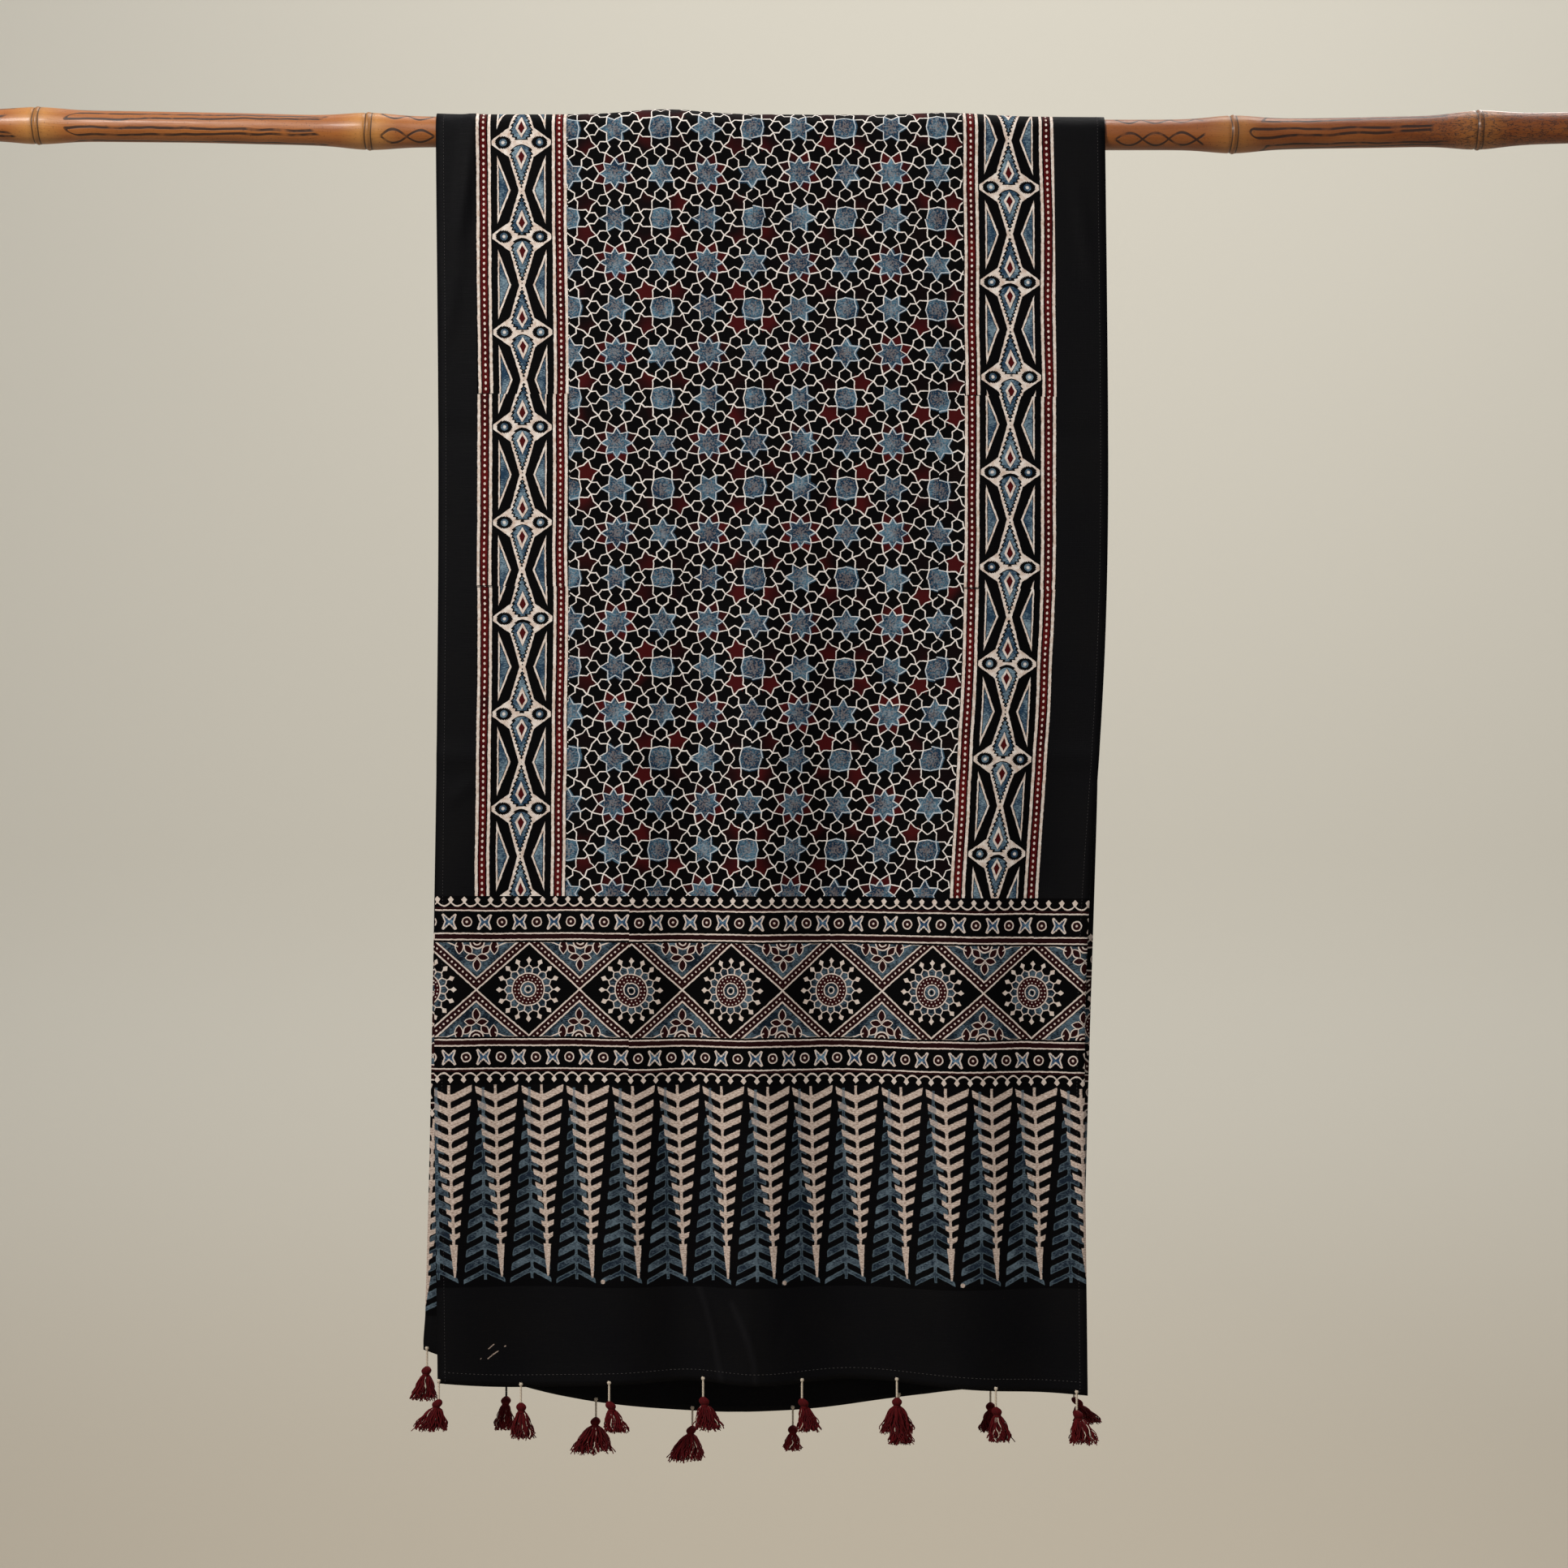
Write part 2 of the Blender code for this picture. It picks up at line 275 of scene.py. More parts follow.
BACK = Fall(1, BACK_FOLDS, BACK_HEM, BACK_EDGE)
print("folds:", len(FRONT_FOLDS), "front,", len(BACK_FOLDS), "back")

# %% Smooth steps, smooth curves, and the line of the pole


def smoothstep(low, high, value):
    t = min(1.0, max(0.0, (value - low) / (high - low)))
    return t * t * (3.0 - 2.0 * t)


def along_table(rows, at):
    """The second column at a place in the first, on a smooth curve through every row."""
    if at <= rows[0][0]:
        return rows[0][1]
    if at >= rows[-1][0]:
        return rows[-1][1]
    i = 0
    while rows[i + 1][0] < at:
        i += 1

    def slope(k):
        before = rows[max(0, k - 1)]
        after = rows[min(len(rows) - 1, k + 1)]
        return (after[1] - before[1]) / (after[0] - before[0])

    x0, y0 = rows[i]
    x1, y1 = rows[i + 1]
    span = x1 - x0
    t = (at - x0) / span
    start = (2 * t ** 3 - 3 * t ** 2 + 1) * y0 + (t ** 3 - 2 * t ** 2 + t) * span * slope(i)
    end = (3 * t ** 2 - 2 * t ** 3) * y1 + (t ** 3 - t ** 2) * span * slope(i + 1)
    return start + end


def pole_height(along):
    return along_table(POLE_BOW, along)


print("pole axis at the left selvedge: %.1f mm" % (1000 * pole_height(-HALF_WIDTH)))

# %% [markdown]
# The folds above are the ones that the solid has too. A pressed cloth also keeps sharp, shallow
# creases from lying folded in a drawer: two run its length, because it was folded in four
# across, and a few run from selvedge to selvedge. A last touch is a rumple of under a
# millimetre, from Blender's noise, because no hanging cloth is ever a clean sum of curves.

# %% Creases and rumple
Crease = namedtuple("Crease", "place out half_width")
LENGTHWISE = (
    Crease(-0.0135, 0.0011, 0.0060),
    Crease(0.1430, -0.0010, 0.0060),
    Crease(-0.1500, 0.0006, 0.0070),
)
CROSSWISE = (                 # place is the length of cloth above the front hem
    Crease(0.512, 0.0013, 0.0080),
    Crease(0.262, 0.0005, 0.0090),
    Crease(0.775, -0.0006, 0.0090),
    Crease(1.590, 0.0012, 0.0080),
)
Ruck = namedtuple("Ruck", "across length to_across to_length out half_width")
RUCKS = (                     # short slanting ridges
    Ruck(-0.0500, 0.0820, -0.0320, 0.0280, 0.0013, 0.0034),
    Ruck(-0.0200, 0.0580, -0.0060, 0.0040, 0.0013, 0.0034),
    Ruck(0.0180, 0.0640, 0.0100, 0.0240, -0.0009, 0.0050),
    Ruck(-0.2580, 0.9100, -0.2440, 1.0080, 0.0016, 0.0045),
    Ruck(-0.2680, 0.8400, -0.2520, 0.9300, 0.0011, 0.0050),
    Ruck(0.2620, 0.8900, 0.2480, 0.9900, 0.0012, 0.0050),
    Ruck(0.2600, 0.3600, 0.2380, 0.4100, 0.0014, 0.0060),
    Ruck(-0.2640, 0.4700, -0.2380, 0.4960, 0.0014, 0.0060),
    Ruck(0.0900, 0.6900, 0.1220, 0.6000, 0.0007, 0.0070),
    Ruck(-0.1000, 0.7600, -0.0700, 0.6800, 0.0007, 0.0070),
)
HEM_DEPTH = 0.0095            # the turned-under part of each hem
HEM_STEP = 0.00035            # how far the doubled cloth stands out
BROAD_RUMPLE = 0.0009
FINE_RUMPLE = 0.0004
PRESSED_FROM = (0.12, 0.24)   # crosswise creases deepen between these distances from the middle


def ruck_depth(ruck, across, length):
    """A ridge along a slanting line, highest at its middle."""
    run = (length - ruck.length) / (ruck.to_length - ruck.length)
    if not 0.0 < run < 1.0:
        return 0.0
    reach = (across - ruck.across - run * (ruck.to_across - ruck.across)) / ruck.half_width
    return ruck.out * math.sin(math.pi * run) * math.exp(-reach * reach)


def crease_depth(across, length):
    """Pressed creases, uneven along their run."""
    depth = 0.0
    for crease in LENGTHWISE:
        wander = 0.003 * noise.noise(Vector((length * 4.0, crease.place * 50.0, 0.0)))
        strength = 0.65 + 0.7 * noise.noise(Vector((length * 7.0, crease.place * 90.0, 3.0)))
        reach = (across - crease.place - wander) / crease.half_width
        depth += crease.out * strength * math.exp(-reach * reach)
    for crease in CROSSWISE:
        wander = 0.004 * noise.noise(Vector((across * 6.0, crease.place * 50.0, 7.0)))
        near_selvedge = smoothstep(*PRESSED_FROM, abs(across))
        reach = (length - crease.place - wander) / crease.half_width
        depth += crease.out * (0.35 + 0.65 * near_selvedge) * math.exp(-reach * reach)
    for ruck in RUCKS:
        depth += ruck_depth(ruck, across, length)
    return depth


def rumple_depth(across, length):
    broad = noise.noise(Vector((across * 9.0, length * 3.2, 1.7)))
    fine = noise.noise(Vector((across * 26.0, length * 11.0, 5.1)))
    return BROAD_RUMPLE * broad + FINE_RUMPLE * fine


print("crease at the middle: %.2f mm" % (1000 * crease_depth(-0.0135, 0.6)))

# %% The shape of a fall


def wrap_radius(along):
    """From the pole's axis to the middle of the cloth, which bridges each joint softly."""
    over_joint = 0.0
    for joint in JOINTS:
        rise = joint.swell + JOINT_LIFT
        over_joint = max(over_joint, rise * math.exp(-((along - joint.along) / JOINT_REACH) ** 2))
    return CANE_RADIUS + CLOTH_OFF_CANE + over_joint


def fall_depth(fall, across, drop):
    """How far the middle of the cloth stands from the pole's axis, at a drop below the pole."""
    plumb = CANE_RADIUS + CLOTH_OFF_CANE
    depth = plumb + (wrap_radius(across) - plumb) * math.exp(-drop / JOINT_FADE)
    depth += FALL_SPREAD * smoothstep(0.0, 1.0, drop)
    for fold in fall.folds:
        shape = math.exp(-((across - fold.across) / fold.half_width) ** 2)
        depth += fold.out * shape * smoothstep(fold.begins, fold.full, drop)
    return depth


def narrowed_row(fall, columns, drop):
    """Where each column stands along the pole: the selvedge, then on by the real width."""
    along = [along_table(fall.edge, drop)]
    depth = fall_depth(fall, columns[0], drop)
    for before, after in zip(columns, columns[1:]):
        next_depth = fall_depth(fall, after, drop)
        step = after - before
        along.append(along[-1] + math.sqrt(step * step - (next_depth - depth) ** 2))
        depth = next_depth
    return along


MIDDLE_DROP = along_table(FRONT_HEM, 0.0)
BACK_DROP = along_table(BACK_HEM, 0.0)
WRAP_LENGTH = math.pi * (CANE_RADIUS + CLOTH_OFF_CANE)
CLOTH_LENGTH = MIDDLE_DROP + WRAP_LENGTH + BACK_DROP
print("cloth: %.3f x %.3f m laid flat" % (CLOTH_WIDTH, CLOTH_LENGTH))

# %% [markdown]
# ## The layout of the print
#
# The printer works with a handful of blocks: a square of stars for the field, a long strip for
# the side borders, a strip with diamonds for the ends, narrow strips with rings, and a row of
# trees. Each block's area gets a material of its own, so the mesh is divided along their
# edges. Two layers of coordinates go with it: one in metres of cloth, which the prints are
# drawn in, and one folded into a unit square, which serves whoever needs the colours as a
# picture.

# %% Where each block's print begins and ends
LEFT_BORDER = (-0.2414, -0.1666)
RIGHT_BORDER = (0.1562, 0.2310)
SEAM_INSET = 0.0062           # from a selvedge to its line of stitches
PLAIN_END = 0.0790            # plain cloth above each hem
TREES_TOP = 0.2436
LOWER_RINGS_TOP = 0.2812
DIAMONDS_TOP = 0.3592
BANDS_TOP = 0.3970            # end of the rings and combs, start of the field
COLUMN_STEP = 0.0045
ROW_STEP = 0.0060
WRAP_STEP = 0.0030

PATTERNS = ("ground", "trees", "rings", "diamonds", "stars", "side")


def divided(stops, step):
    """Places from the first stop to the last, in even steps that land on every stop."""
    places = [stops[0]]
    for before, after in zip(stops, stops[1:]):
        count = max(1, round((after - before) / step))
        places += [before + (after - before) * (k + 1) / count for k in range(count)]
    return places


def cloth_columns():
    inner = HALF_WIDTH - SEAM_INSET
    stops = (-HALF_WIDTH, -inner, *LEFT_BORDER, *RIGHT_BORDER, inner, HALF_WIDTH)
    return divided(stops, COLUMN_STEP)


def end_stops():
    return (0.0, HEM_DEPTH, PLAIN_END, TREES_TOP, LOWER_RINGS_TOP, DIAMONDS_TOP, BANDS_TOP)


def cloth_lengths():
    """Lengths of cloth above the front hem where the mesh has a row."""
    front = divided((*end_stops(), MIDDLE_DROP), ROW_STEP)
    wrap = divided((MIDDLE_DROP, MIDDLE_DROP + WRAP_LENGTH), WRAP_STEP)
    back_stops = [CLOTH_LENGTH - stop for stop in reversed(end_stops())]
    back = divided((MIDDLE_DROP + WRAP_LENGTH, *back_stops), ROW_STEP)
    return front + wrap[1:] + back[1:]


def pattern_at(across, length):
    """The name of the block that prints this place, and whether it belongs to the back end."""
    from_hem = min(length, CLOTH_LENGTH - length)
    at_back = length > CLOTH_LENGTH / 2.0
    if from_hem < PLAIN_END:
        return "ground", at_back
    if from_hem < TREES_TOP:
        return "trees", at_back
    if from_hem < LOWER_RINGS_TOP or DIAMONDS_TOP < from_hem < BANDS_TOP:
        return "rings", at_back
    if from_hem < DIAMONDS_TOP:
        return "diamonds", at_back
    if LEFT_BORDER[0] < across < LEFT_BORDER[1] or RIGHT_BORDER[0] < across < RIGHT_BORDER[1]:
        return "side", False
    if LEFT_BORDER[1] < across < RIGHT_BORDER[0]:
        return "stars", False
    return "ground", False


COLUMNS = cloth_columns()
LENGTHS = cloth_lengths()
print("grid:", len(COLUMNS), "x", len(LENGTHS))

# %% Where a place on the cloth hangs
PUCKER = ((-0.2430, 0.000), (-0.2560, 0.095))     # a diagonal tuck below the pole: across, drop
PUCKER_OUT = 0.0030
PUCKER_HALF_WIDTH = 0.0060
SMOOTH_TO = (0.004, 0.045)    # the drops between which creases and rumple set in
HEM_RAMP = (-0.001, 0.004)    # where the step of a hem ends, from the depth of the hem


def pucker_depth(across, drop):
    (x0, d0), (x1, d1) = PUCKER
    t = (drop - d0) / (d1 - d0)
    if not 0.0 <= t <= 1.0:
        return 0.0
    reach = (across - (x0 + t * (x1 - x0))) / PUCKER_HALF_WIDTH
    return PUCKER_OUT * math.sin(math.pi * (0.35 + 0.65 * t)) * math.exp(-reach * reach)


def hem_step(length):
    """The doubled cloth of a hem stands out from the rest by its own thickness."""
    from_hem = min(length, CLOTH_LENGTH - length)
    return HEM_STEP * (1.0 - smoothstep(*[HEM_DEPTH + end for end in HEM_RAMP], from_hem))


def true_drop(fall, across, drop, middle_drop):
    """Below the print, rows are drawn down or up to meet the uneven hem."""
    last = middle_drop - PLAIN_END
    if drop <= last:
        return drop
    share = (drop - last) / PLAIN_END
    return last + share * (along_table(fall.hem, across) - last)


def fall_points(fall, length, drop, middle_drop):
    """One row across a fall: its points, and the drop of each below the pole."""
    along = narrowed_row(fall, COLUMNS, drop)
    points = []
    drops = []
    for across, place in zip(COLUMNS, along):
        own_drop = true_drop(fall, across, drop, middle_drop)
        settled = smoothstep(*SMOOTH_TO, drop)
        depth = fall_depth(fall, across, drop) + hem_step(length)
        depth += settled * (crease_depth(across, length) + rumple_depth(across, length))
        if fall.sign < 0:
            depth += pucker_depth(across, drop)
        points.append((place, fall.sign * depth, pole_height(place) - own_drop))
        drops.append(own_drop)
    return points, drops


def wrap_points(share):
    """One row across the half turn over the pole."""
    turn = math.pi * share
    points = []
    for across, place in zip(COLUMNS, narrowed_row(FRONT, COLUMNS, 0.0)):
        radius = fall_depth(FRONT, across, 0.0)
        tuck = pucker_depth(across, 0.0) * max(0.0, math.cos(turn))
        radius += tuck
        height = pole_height(place) + radius * math.sin(turn)
        points.append((place, -radius * math.cos(turn), height))
    return points


def cloth_row(length):
    """The points of one row, and the length of cloth above the front hem at each."""
    if length <= MIDDLE_DROP:
        points, drops = fall_points(FRONT, length, MIDDLE_DROP - length, MIDDLE_DROP)
        return points, [MIDDLE_DROP - drop for drop in drops]
    if length < MIDDLE_DROP + WRAP_LENGTH:
        share = (length - MIDDLE_DROP) / WRAP_LENGTH
        return wrap_points(share), [length] * len(COLUMNS)
    start = MIDDLE_DROP + WRAP_LENGTH
    points, drops = fall_points(BACK, length, length - start, BACK_DROP)
    return points, [start + drop for drop in drops]


print("tuck below the pole: %.1f mm" % (1000 * pucker_depth(-0.2500, 0.05)))

# %% The cloth's mesh
MARGIN = 0.01                 # round each half of the unit square


def build_cloth_mesh():
    points = []
    lengths = []
    for length in LENGTHS:
        row, along_cloth = cloth_row(length)
        points += row
        lengths += along_cloth
    wide = len(COLUMNS)
    faces = []
    kinds = []
    metres = []
    square = []
    for i in range(len(LENGTHS) - 1):
        middle_length = (LENGTHS[i] + LENGTHS[i + 1]) / 2.0
        half_number = 0 if middle_length < CLOTH_LENGTH / 2.0 else 1
        for k in range(wide - 1):
            first = i * wide + k
            corners = (first, first + 1, first + wide + 1, first + wide)
            faces.append(corners)
            kind, turned = pattern_at((COLUMNS[k] + COLUMNS[k + 1]) / 2.0, middle_length)
            kinds.append(PATTERNS.index(kind))
            for corner in corners:
                across = COLUMNS[corner % wide]
                length = lengths[corner]
                metres.append((-across, CLOTH_LENGTH - length) if turned else (across, length))
                half_share = LENGTHS[corner // wide] / (CLOTH_LENGTH / 2.0) - half_number
                column_share = MARGIN + (0.5 - 2 * MARGIN) * (across / CLOTH_WIDTH + 0.5)
                row_share = MARGIN + (1.0 - 2 * MARGIN) * half_share
                square.append((column_share + 0.5 * half_number, row_share))
    mesh = bpy.data.meshes.new("stole")
    mesh.from_pydata(points, [], faces)
    mesh.polygons.foreach_set("material_index", kinds)
    for name, places in (("OFBake", square), ("Cloth", metres)):
        layer = mesh.uv_layers.new(name=name)
        layer.data.foreach_set("uv", [value for place in places for value in place])
    mesh.shade_smooth()
    return mesh


cloth_mesh = build_cloth_mesh()
print("cloth faces before thickness:", len(cloth_mesh.polygons))

# %% [markdown]
# ## Drawing with sums
#
# A carved block prints the same few shapes over and over. They could be painted as a picture,
# but a picture has only so many dots, and these lines are a millimetre wide on two metres of
# cloth. So each block is drawn by arithmetic in its material instead: the place on the cloth is
# folded back into one repeat, and a few distances there say where the dye lies. A small class
# lets the arithmetic be written as sums, and each sum becomes one Math node in the node tree
# that its terms belong to.

# %% Numbers that change over the cloth
SHAPE_EDGE = 0.3              # how soft the edge of a printed shape is, in millimetres
LINE_EDGE = 0.18              # and that of a line


class Number:
    """A number that changes over the cloth: the output of one node."""

    def __init__(self, socket):
        self.socket = socket

    def __add__(self, other):
        return sum_node("ADD", self, other)

    def __sub__(self, other):
        return sum_node("SUBTRACT", self, other)

    def __rsub__(self, other):
        return sum_node("SUBTRACT", other, self)

    def __mul__(self, other):
        return sum_node("MULTIPLY", self, other)

    def __truediv__(self, other):
        return sum_node("DIVIDE", self, other)

    __radd__ = __add__
    __rmul__ = __mul__


def sum_node(operation, *terms, clamp=False):
    tree = next(term.socket.id_data for term in terms if isinstance(term, Number))
    node = add_node(tree, "ShaderNodeMath", {"operation": operation, "use_clamp": clamp})
    for socket, term in zip(node.inputs, terms):
        set_input(socket, term)
    return Number(node.outputs[0])


def clamped(number, times=1.0, plus=0.0):
    """A number times one value plus another, kept between 0 and 1."""
    return sum_node("MULTIPLY_ADD", number, times, plus, clamp=True)


def away(number):
    return sum_node("ABSOLUTE", number)


def least(*numbers):
    return reduce(lambda result, number: sum_node("MINIMUM", result, number), numbers)


def most(*numbers):
    return reduce(lambda result, number: sum_node("MAXIMUM", result, number), numbers)


def softly(which, one, other, width):
    """The smaller or larger of two numbers, rounded off where they cross."""
    return sum_node("SMOOTH_" + which, one, other, width)


def folded(number, half):
    """Back and forth between 0 and half, so that every other repeat is a mirror image."""
    return sum_node("PINGPONG", number, half)


def repeated(number, step):
    """From -step/2 to step/2 in every repeat, with 0 where the number is a multiple of step."""
    return sum_node("WRAP", number, step / 2.0, -step / 2.0)


def hypotenuse(x, y):
    return sum_node("SQRT", x * x + y * y)


def ink(inside, edge=SHAPE_EDGE):
    """A share of dye, from 0 to 1, where a distance to the edge of a shape is above 0."""
    return clamped(inside, 1.0 / edge, 0.5)


def line(distance, width):
    """Dye along a line: width is the whole width, in the distance's own units."""
    return ink(width / 2.0 - distance, LINE_EDGE)


print("sums are written as sums: one Math node each")

# %% Places, straight lines and half planes


def turned(x, y, angle):
    cosine, sine = math.cos(angle), math.sin(angle)
    return x * cosine + y * sine, y * cosine - x * sine


def vector_sum(operation, *terms):
    """One Vector Math node: its result is a place, or a Number if it's a plain number."""
    terms = [getattr(term, "socket", term) for term in terms]
    tree = next(term.id_data for term in terms if isinstance(term, bpy.types.NodeSocket))
    node = add_node(tree, "ShaderNodeVectorMath", {"operation": operation})
    for socket, term in zip((s for s in node.inputs if s.enabled), terms):
        set_input(socket, term)
    result = next(s for s in node.outputs if s.enabled)
    return Number(result) if result.type == "VALUE" else result


def place_of(x, y):
    return add_node(x.socket.id_data, "ShaderNodeCombineXYZ", X=x, Y=y).outputs["Vector"]


def numbers_of(place):
    parts = add_node(place.id_data, "ShaderNodeSeparateXYZ", Vector=place)
    return Number(parts.outputs["X"]), Number(parts.outputs["Y"])


def to_segment(place, start, end):
    """Distance from a place to a straight stroke between two points."""
    run = (end[0] - start[0], end[1] - start[1], 0.0)
    squared = run[0] ** 2 + run[1] ** 2
    from_start = vector_sum("SUBTRACT", place, (*start, 0.0))
    along = vector_sum("DOT_PRODUCT", from_start, [part / squared for part in run])
    return vector_sum("DISTANCE", from_start, vector_sum("SCALE", run, clamped(along)))


def to_strokes(place, strokes):
    """Distance from a place to the nearest of several strokes, each a row of points."""
    return least(*[
        to_segment(place, start, end)
        for stroke in strokes
        for start, end in zip(stroke, stroke[1:])
    ])


def within(place, start, end, inside):
    """Distance past the line through two points, positive on the side of a third."""
    normal = (start[1] - end[1], end[0] - start[0])
    size = math.hypot(*normal)
    level = (normal[0] * start[0] + normal[1] * start[1]) / size
    inner = (normal[0] * inside[0] + normal[1] * inside[1]) / size - level
    sign = 1.0 if inner > 0.0 else -1.0
    direction = (sign * normal[0] / size, sign * normal[1] / size, 0.0)
    return vector_sum("DOT_PRODUCT", place, direction) - sign * level


print("strokes and half planes ready")

# %% [markdown]
# ## Dyes and the hand of the printer
#
# Ajrakh has four colours. Cream is the bare cloth under a resist, black and madder red are
# printed with iron and alum, and the indigo vat gives the blue, which takes unevenly and looks
# mottled. No block lands twice in the same way: each print is a little off, its lines swell and
# thin, and the joints between two prints show. Noise bends the coordinates by a fraction of a
# millimetre, and a random shift for each print of a block sets it slightly off its neighbours.

# %% The four dyes


def dye(red, green, blue):
    """A colour from its eight-bit values, as the linear numbers that a shader reads."""
    parts = []
    for value in (red, green, blue):
        share = value / 255.0
        parts.append(share / 12.92 if share <= 0.04045 else ((share + 0.055) / 1.055) ** 2.4)
    return (*parts, 1.0)


BLACK = dye(4, 4, 5)
CREAM = dye(221, 211, 201)
WORN_CREAM = dye(186, 164, 148)
DEEP_INDIGO = dye(28, 54, 84)
PALE_INDIGO = dye(116, 148, 166)
MADDER = dye(84, 14, 14)
DARK_MADDER = dye(34, 9, 10)


def mix_dyes(share, under, over):
    """A colour that goes from one dye to another. Either may be a socket or a plain colour."""
    node = add_node(share.socket.id_data, "ShaderNodeMix", {"data_type": "RGBA"},
                    Factor=share, A=under, B=over)
    return next(s for s in node.outputs if s.type == "RGBA")


def flat_noise(place, size, detail, roughness=0.5):
    """Noise whose clouds are about so many millimetres wide."""
    return add_node(place.id_data, "ShaderNodeTexNoise", {"noise_dimensions": "2D"},
                    Vector=place, Scale=1.0 / size, Detail=detail, Roughness=roughness)


def clouds(place, size, detail=2.0, roughness=0.5):
    return Number(flat_noise(place, size, detail, roughness).outputs["Fac"])


def streaks(place, across, along, detail=2.0, roughness=0.7):
    """Clouds of a millimetre, each coordinate scaled first, for threads and fibres."""
    return clouds(vector_sum("MULTIPLY", place, (across, along, 1.0)), 1.0, detail, roughness)


print("dyes: black, cream, indigo, madder")

# %% Where on the cloth a print is, in millimetres
WOBBLE = 0.9                  # how far the cloth's give bends a print
WOBBLE_SIZE = 70.0
TREMBLE = 0.34                # how far a carved line wavers
TREMBLE_SIZE = 3.2
ONE_ACROSS = 1000.0           # a block that is longer than the cloth is printed once
ACROSS_START = -500.0


def cloth_place(tree, layer="Cloth"):
    """The flat place on the cloth in millimetres, straight from its own coordinates."""
    coordinates = add_node(tree, "ShaderNodeUVMap", {"uv_map": layer})
    return vector_sum("SCALE", coordinates.outputs["UV"], 1000.0)


def shifted(place, chance, operation, amount):
    """The place moved by a random colour, as far as the amount says to each side."""
    middle = vector_sum("SUBTRACT", chance.outputs["Color"], (0.5, 0.5, 0.5))
    return vector_sum("ADD", place, vector_sum(operation, middle, amount))


def bent_by_noise(place, size, amount):
    return shifted(place, flat_noise(place, size, 1.0), "SCALE", 2.0 * amount)


def slipped(place, block, start, slip):
    """Shifts each print of a block by its own small random step."""
    from_start = vector_sum("SUBTRACT", place, (*start, 0.0))
    number = vector_sum("FLOOR", vector_sum("DIVIDE", from_start, (*block, 1.0)))
    chance = add_node(place.id_data, "ShaderNodeTexWhiteNoise", {"noise_dimensions": "2D"},
                      Vector=number)
    return shifted(place, chance, "MULTIPLY", (*slip, 0.0))


def printed_numbers(flat, block, start, slip):
    """The two coordinates in millimetres, as the printer's hand sets them."""
    place = slipped(bent_by_noise(flat, WOBBLE_SIZE, WOBBLE), block, start, slip)
    return numbers_of(bent_by_noise(place, TREMBLE_SIZE, TREMBLE))


print("the cloth's give bends a print by up to %.1f mm" % WOBBLE)

# %% How the dyes take
THREAD = 0.42                 # from one thread of the weave to the next, in millimetres


def mottled(place, deep, pale):
    """Indigo as the vat leaves it: cloudy, and speckled thread by thread."""
    cloud = clouds(place, 22.0, 4.0, 0.72)
    return mix_dyes(clamped(cloud * 2.6 + streaks(place, 0.40, 1.5) * 1.8 - 1.98), deep, pale)


def worn(place, share, loss=0.10):
    """A share of dye with faint gaps where the block or the resist didn't take."""
    speckle = streaks(place, 0.9, 1.5, roughness=0.75)
    return share * clamped(speckle, -5.0, 4.75 - 5.0 * loss)


def clouded_black(place, dark=dye(1, 1, 2), light=dye(5, 4, 4)):
    """Iron black, a shade browner here and bluer there."""
    return mix_dyes(clouds(place, 60.0), dark, light)


def stained_cream(place):
    return mix_dyes(clouds(place, 5.0), CREAM, WORN_CREAM)


print("weave: %.2f mm from thread to thread" % THREAD)

# %% [markdown]
# Every material starts from one colour and lays others over it: `lay` does it by a share, and
# `fill` does it inside a shape. At the end the colour, the roughness and a height, which becomes
# a bump, are linked to the shader. A print starts from the black of the iron dye and ends with
# the weave.

# %% Layer over layer
CLOTH_SHEEN = {"Sheen_Weight": 0.005, "Sheen_Roughness": 0.4}
CLOTH_GLOSS = 0.035
WEAVE_BUMP = 0.55
WEAVE_DEPTH = 0.00035


class Layers:
    """A material whose colour is built up, one layer over another."""

    def __init__(self, name, **inputs):
        self.material, self.tree, self.shader = new_material(name, **inputs)
        self.colour = None

    def lay(self, share, colour):
        """Lays a colour over those before it, as far as the share says."""
        self.colour = mix_dyes(share, self.colour, colour)

    def fill(self, shape, colour, edge=SHAPE_EDGE):
        """Lays a colour inside a shape."""
        self.lay(ink(shape, edge), colour)

    def finish(self, roughness, height, strength, distance):
        """Links the colour and the roughness, and turns the height into a bump."""
        bump = add_node(self.tree, "ShaderNodeBump",
                        Strength=strength, Distance=distance, Height=height)
        ends = {"Base Color": self.colour, "Roughness": roughness, "Normal": bump.outputs[0]}
        for label, value in ends.items():
            set_input(self.shader.inputs[label], value)
        return self.material


def new_print(name, **black):
    """A block's layers with the black ground laid, and the flat place on the cloth."""
    block = Layers(name, **CLOTH_SHEEN)
    flat = cloth_place(block.tree)
    block.colour = clouded_black(flat, **black)
    return block, flat


def finish_cloth(block, flat, gloss=CLOTH_GLOSS):
    """The weave and its faint lustre, shared by every print."""
    set_input(block.shader.inputs["Specular IOR Level"], gloss)
    slub = streaks(flat, 0.05, 1.6, roughness=0.6)
    rib = streaks(flat, 1.4, 0.04, roughness=0.6)
    warp, weft = (folded(number, THREAD / 2.0) for number in numbers_of(flat))
    height = (warp + weft) * 0.8 + slub * 0.55 + rib * 0.35
    return block.finish(slub * 0.20 + 0.52, height, WEAVE_BUMP, WEAVE_DEPTH)


print("weave: %.2f mm deep" % (1000 * WEAVE_DEPTH))
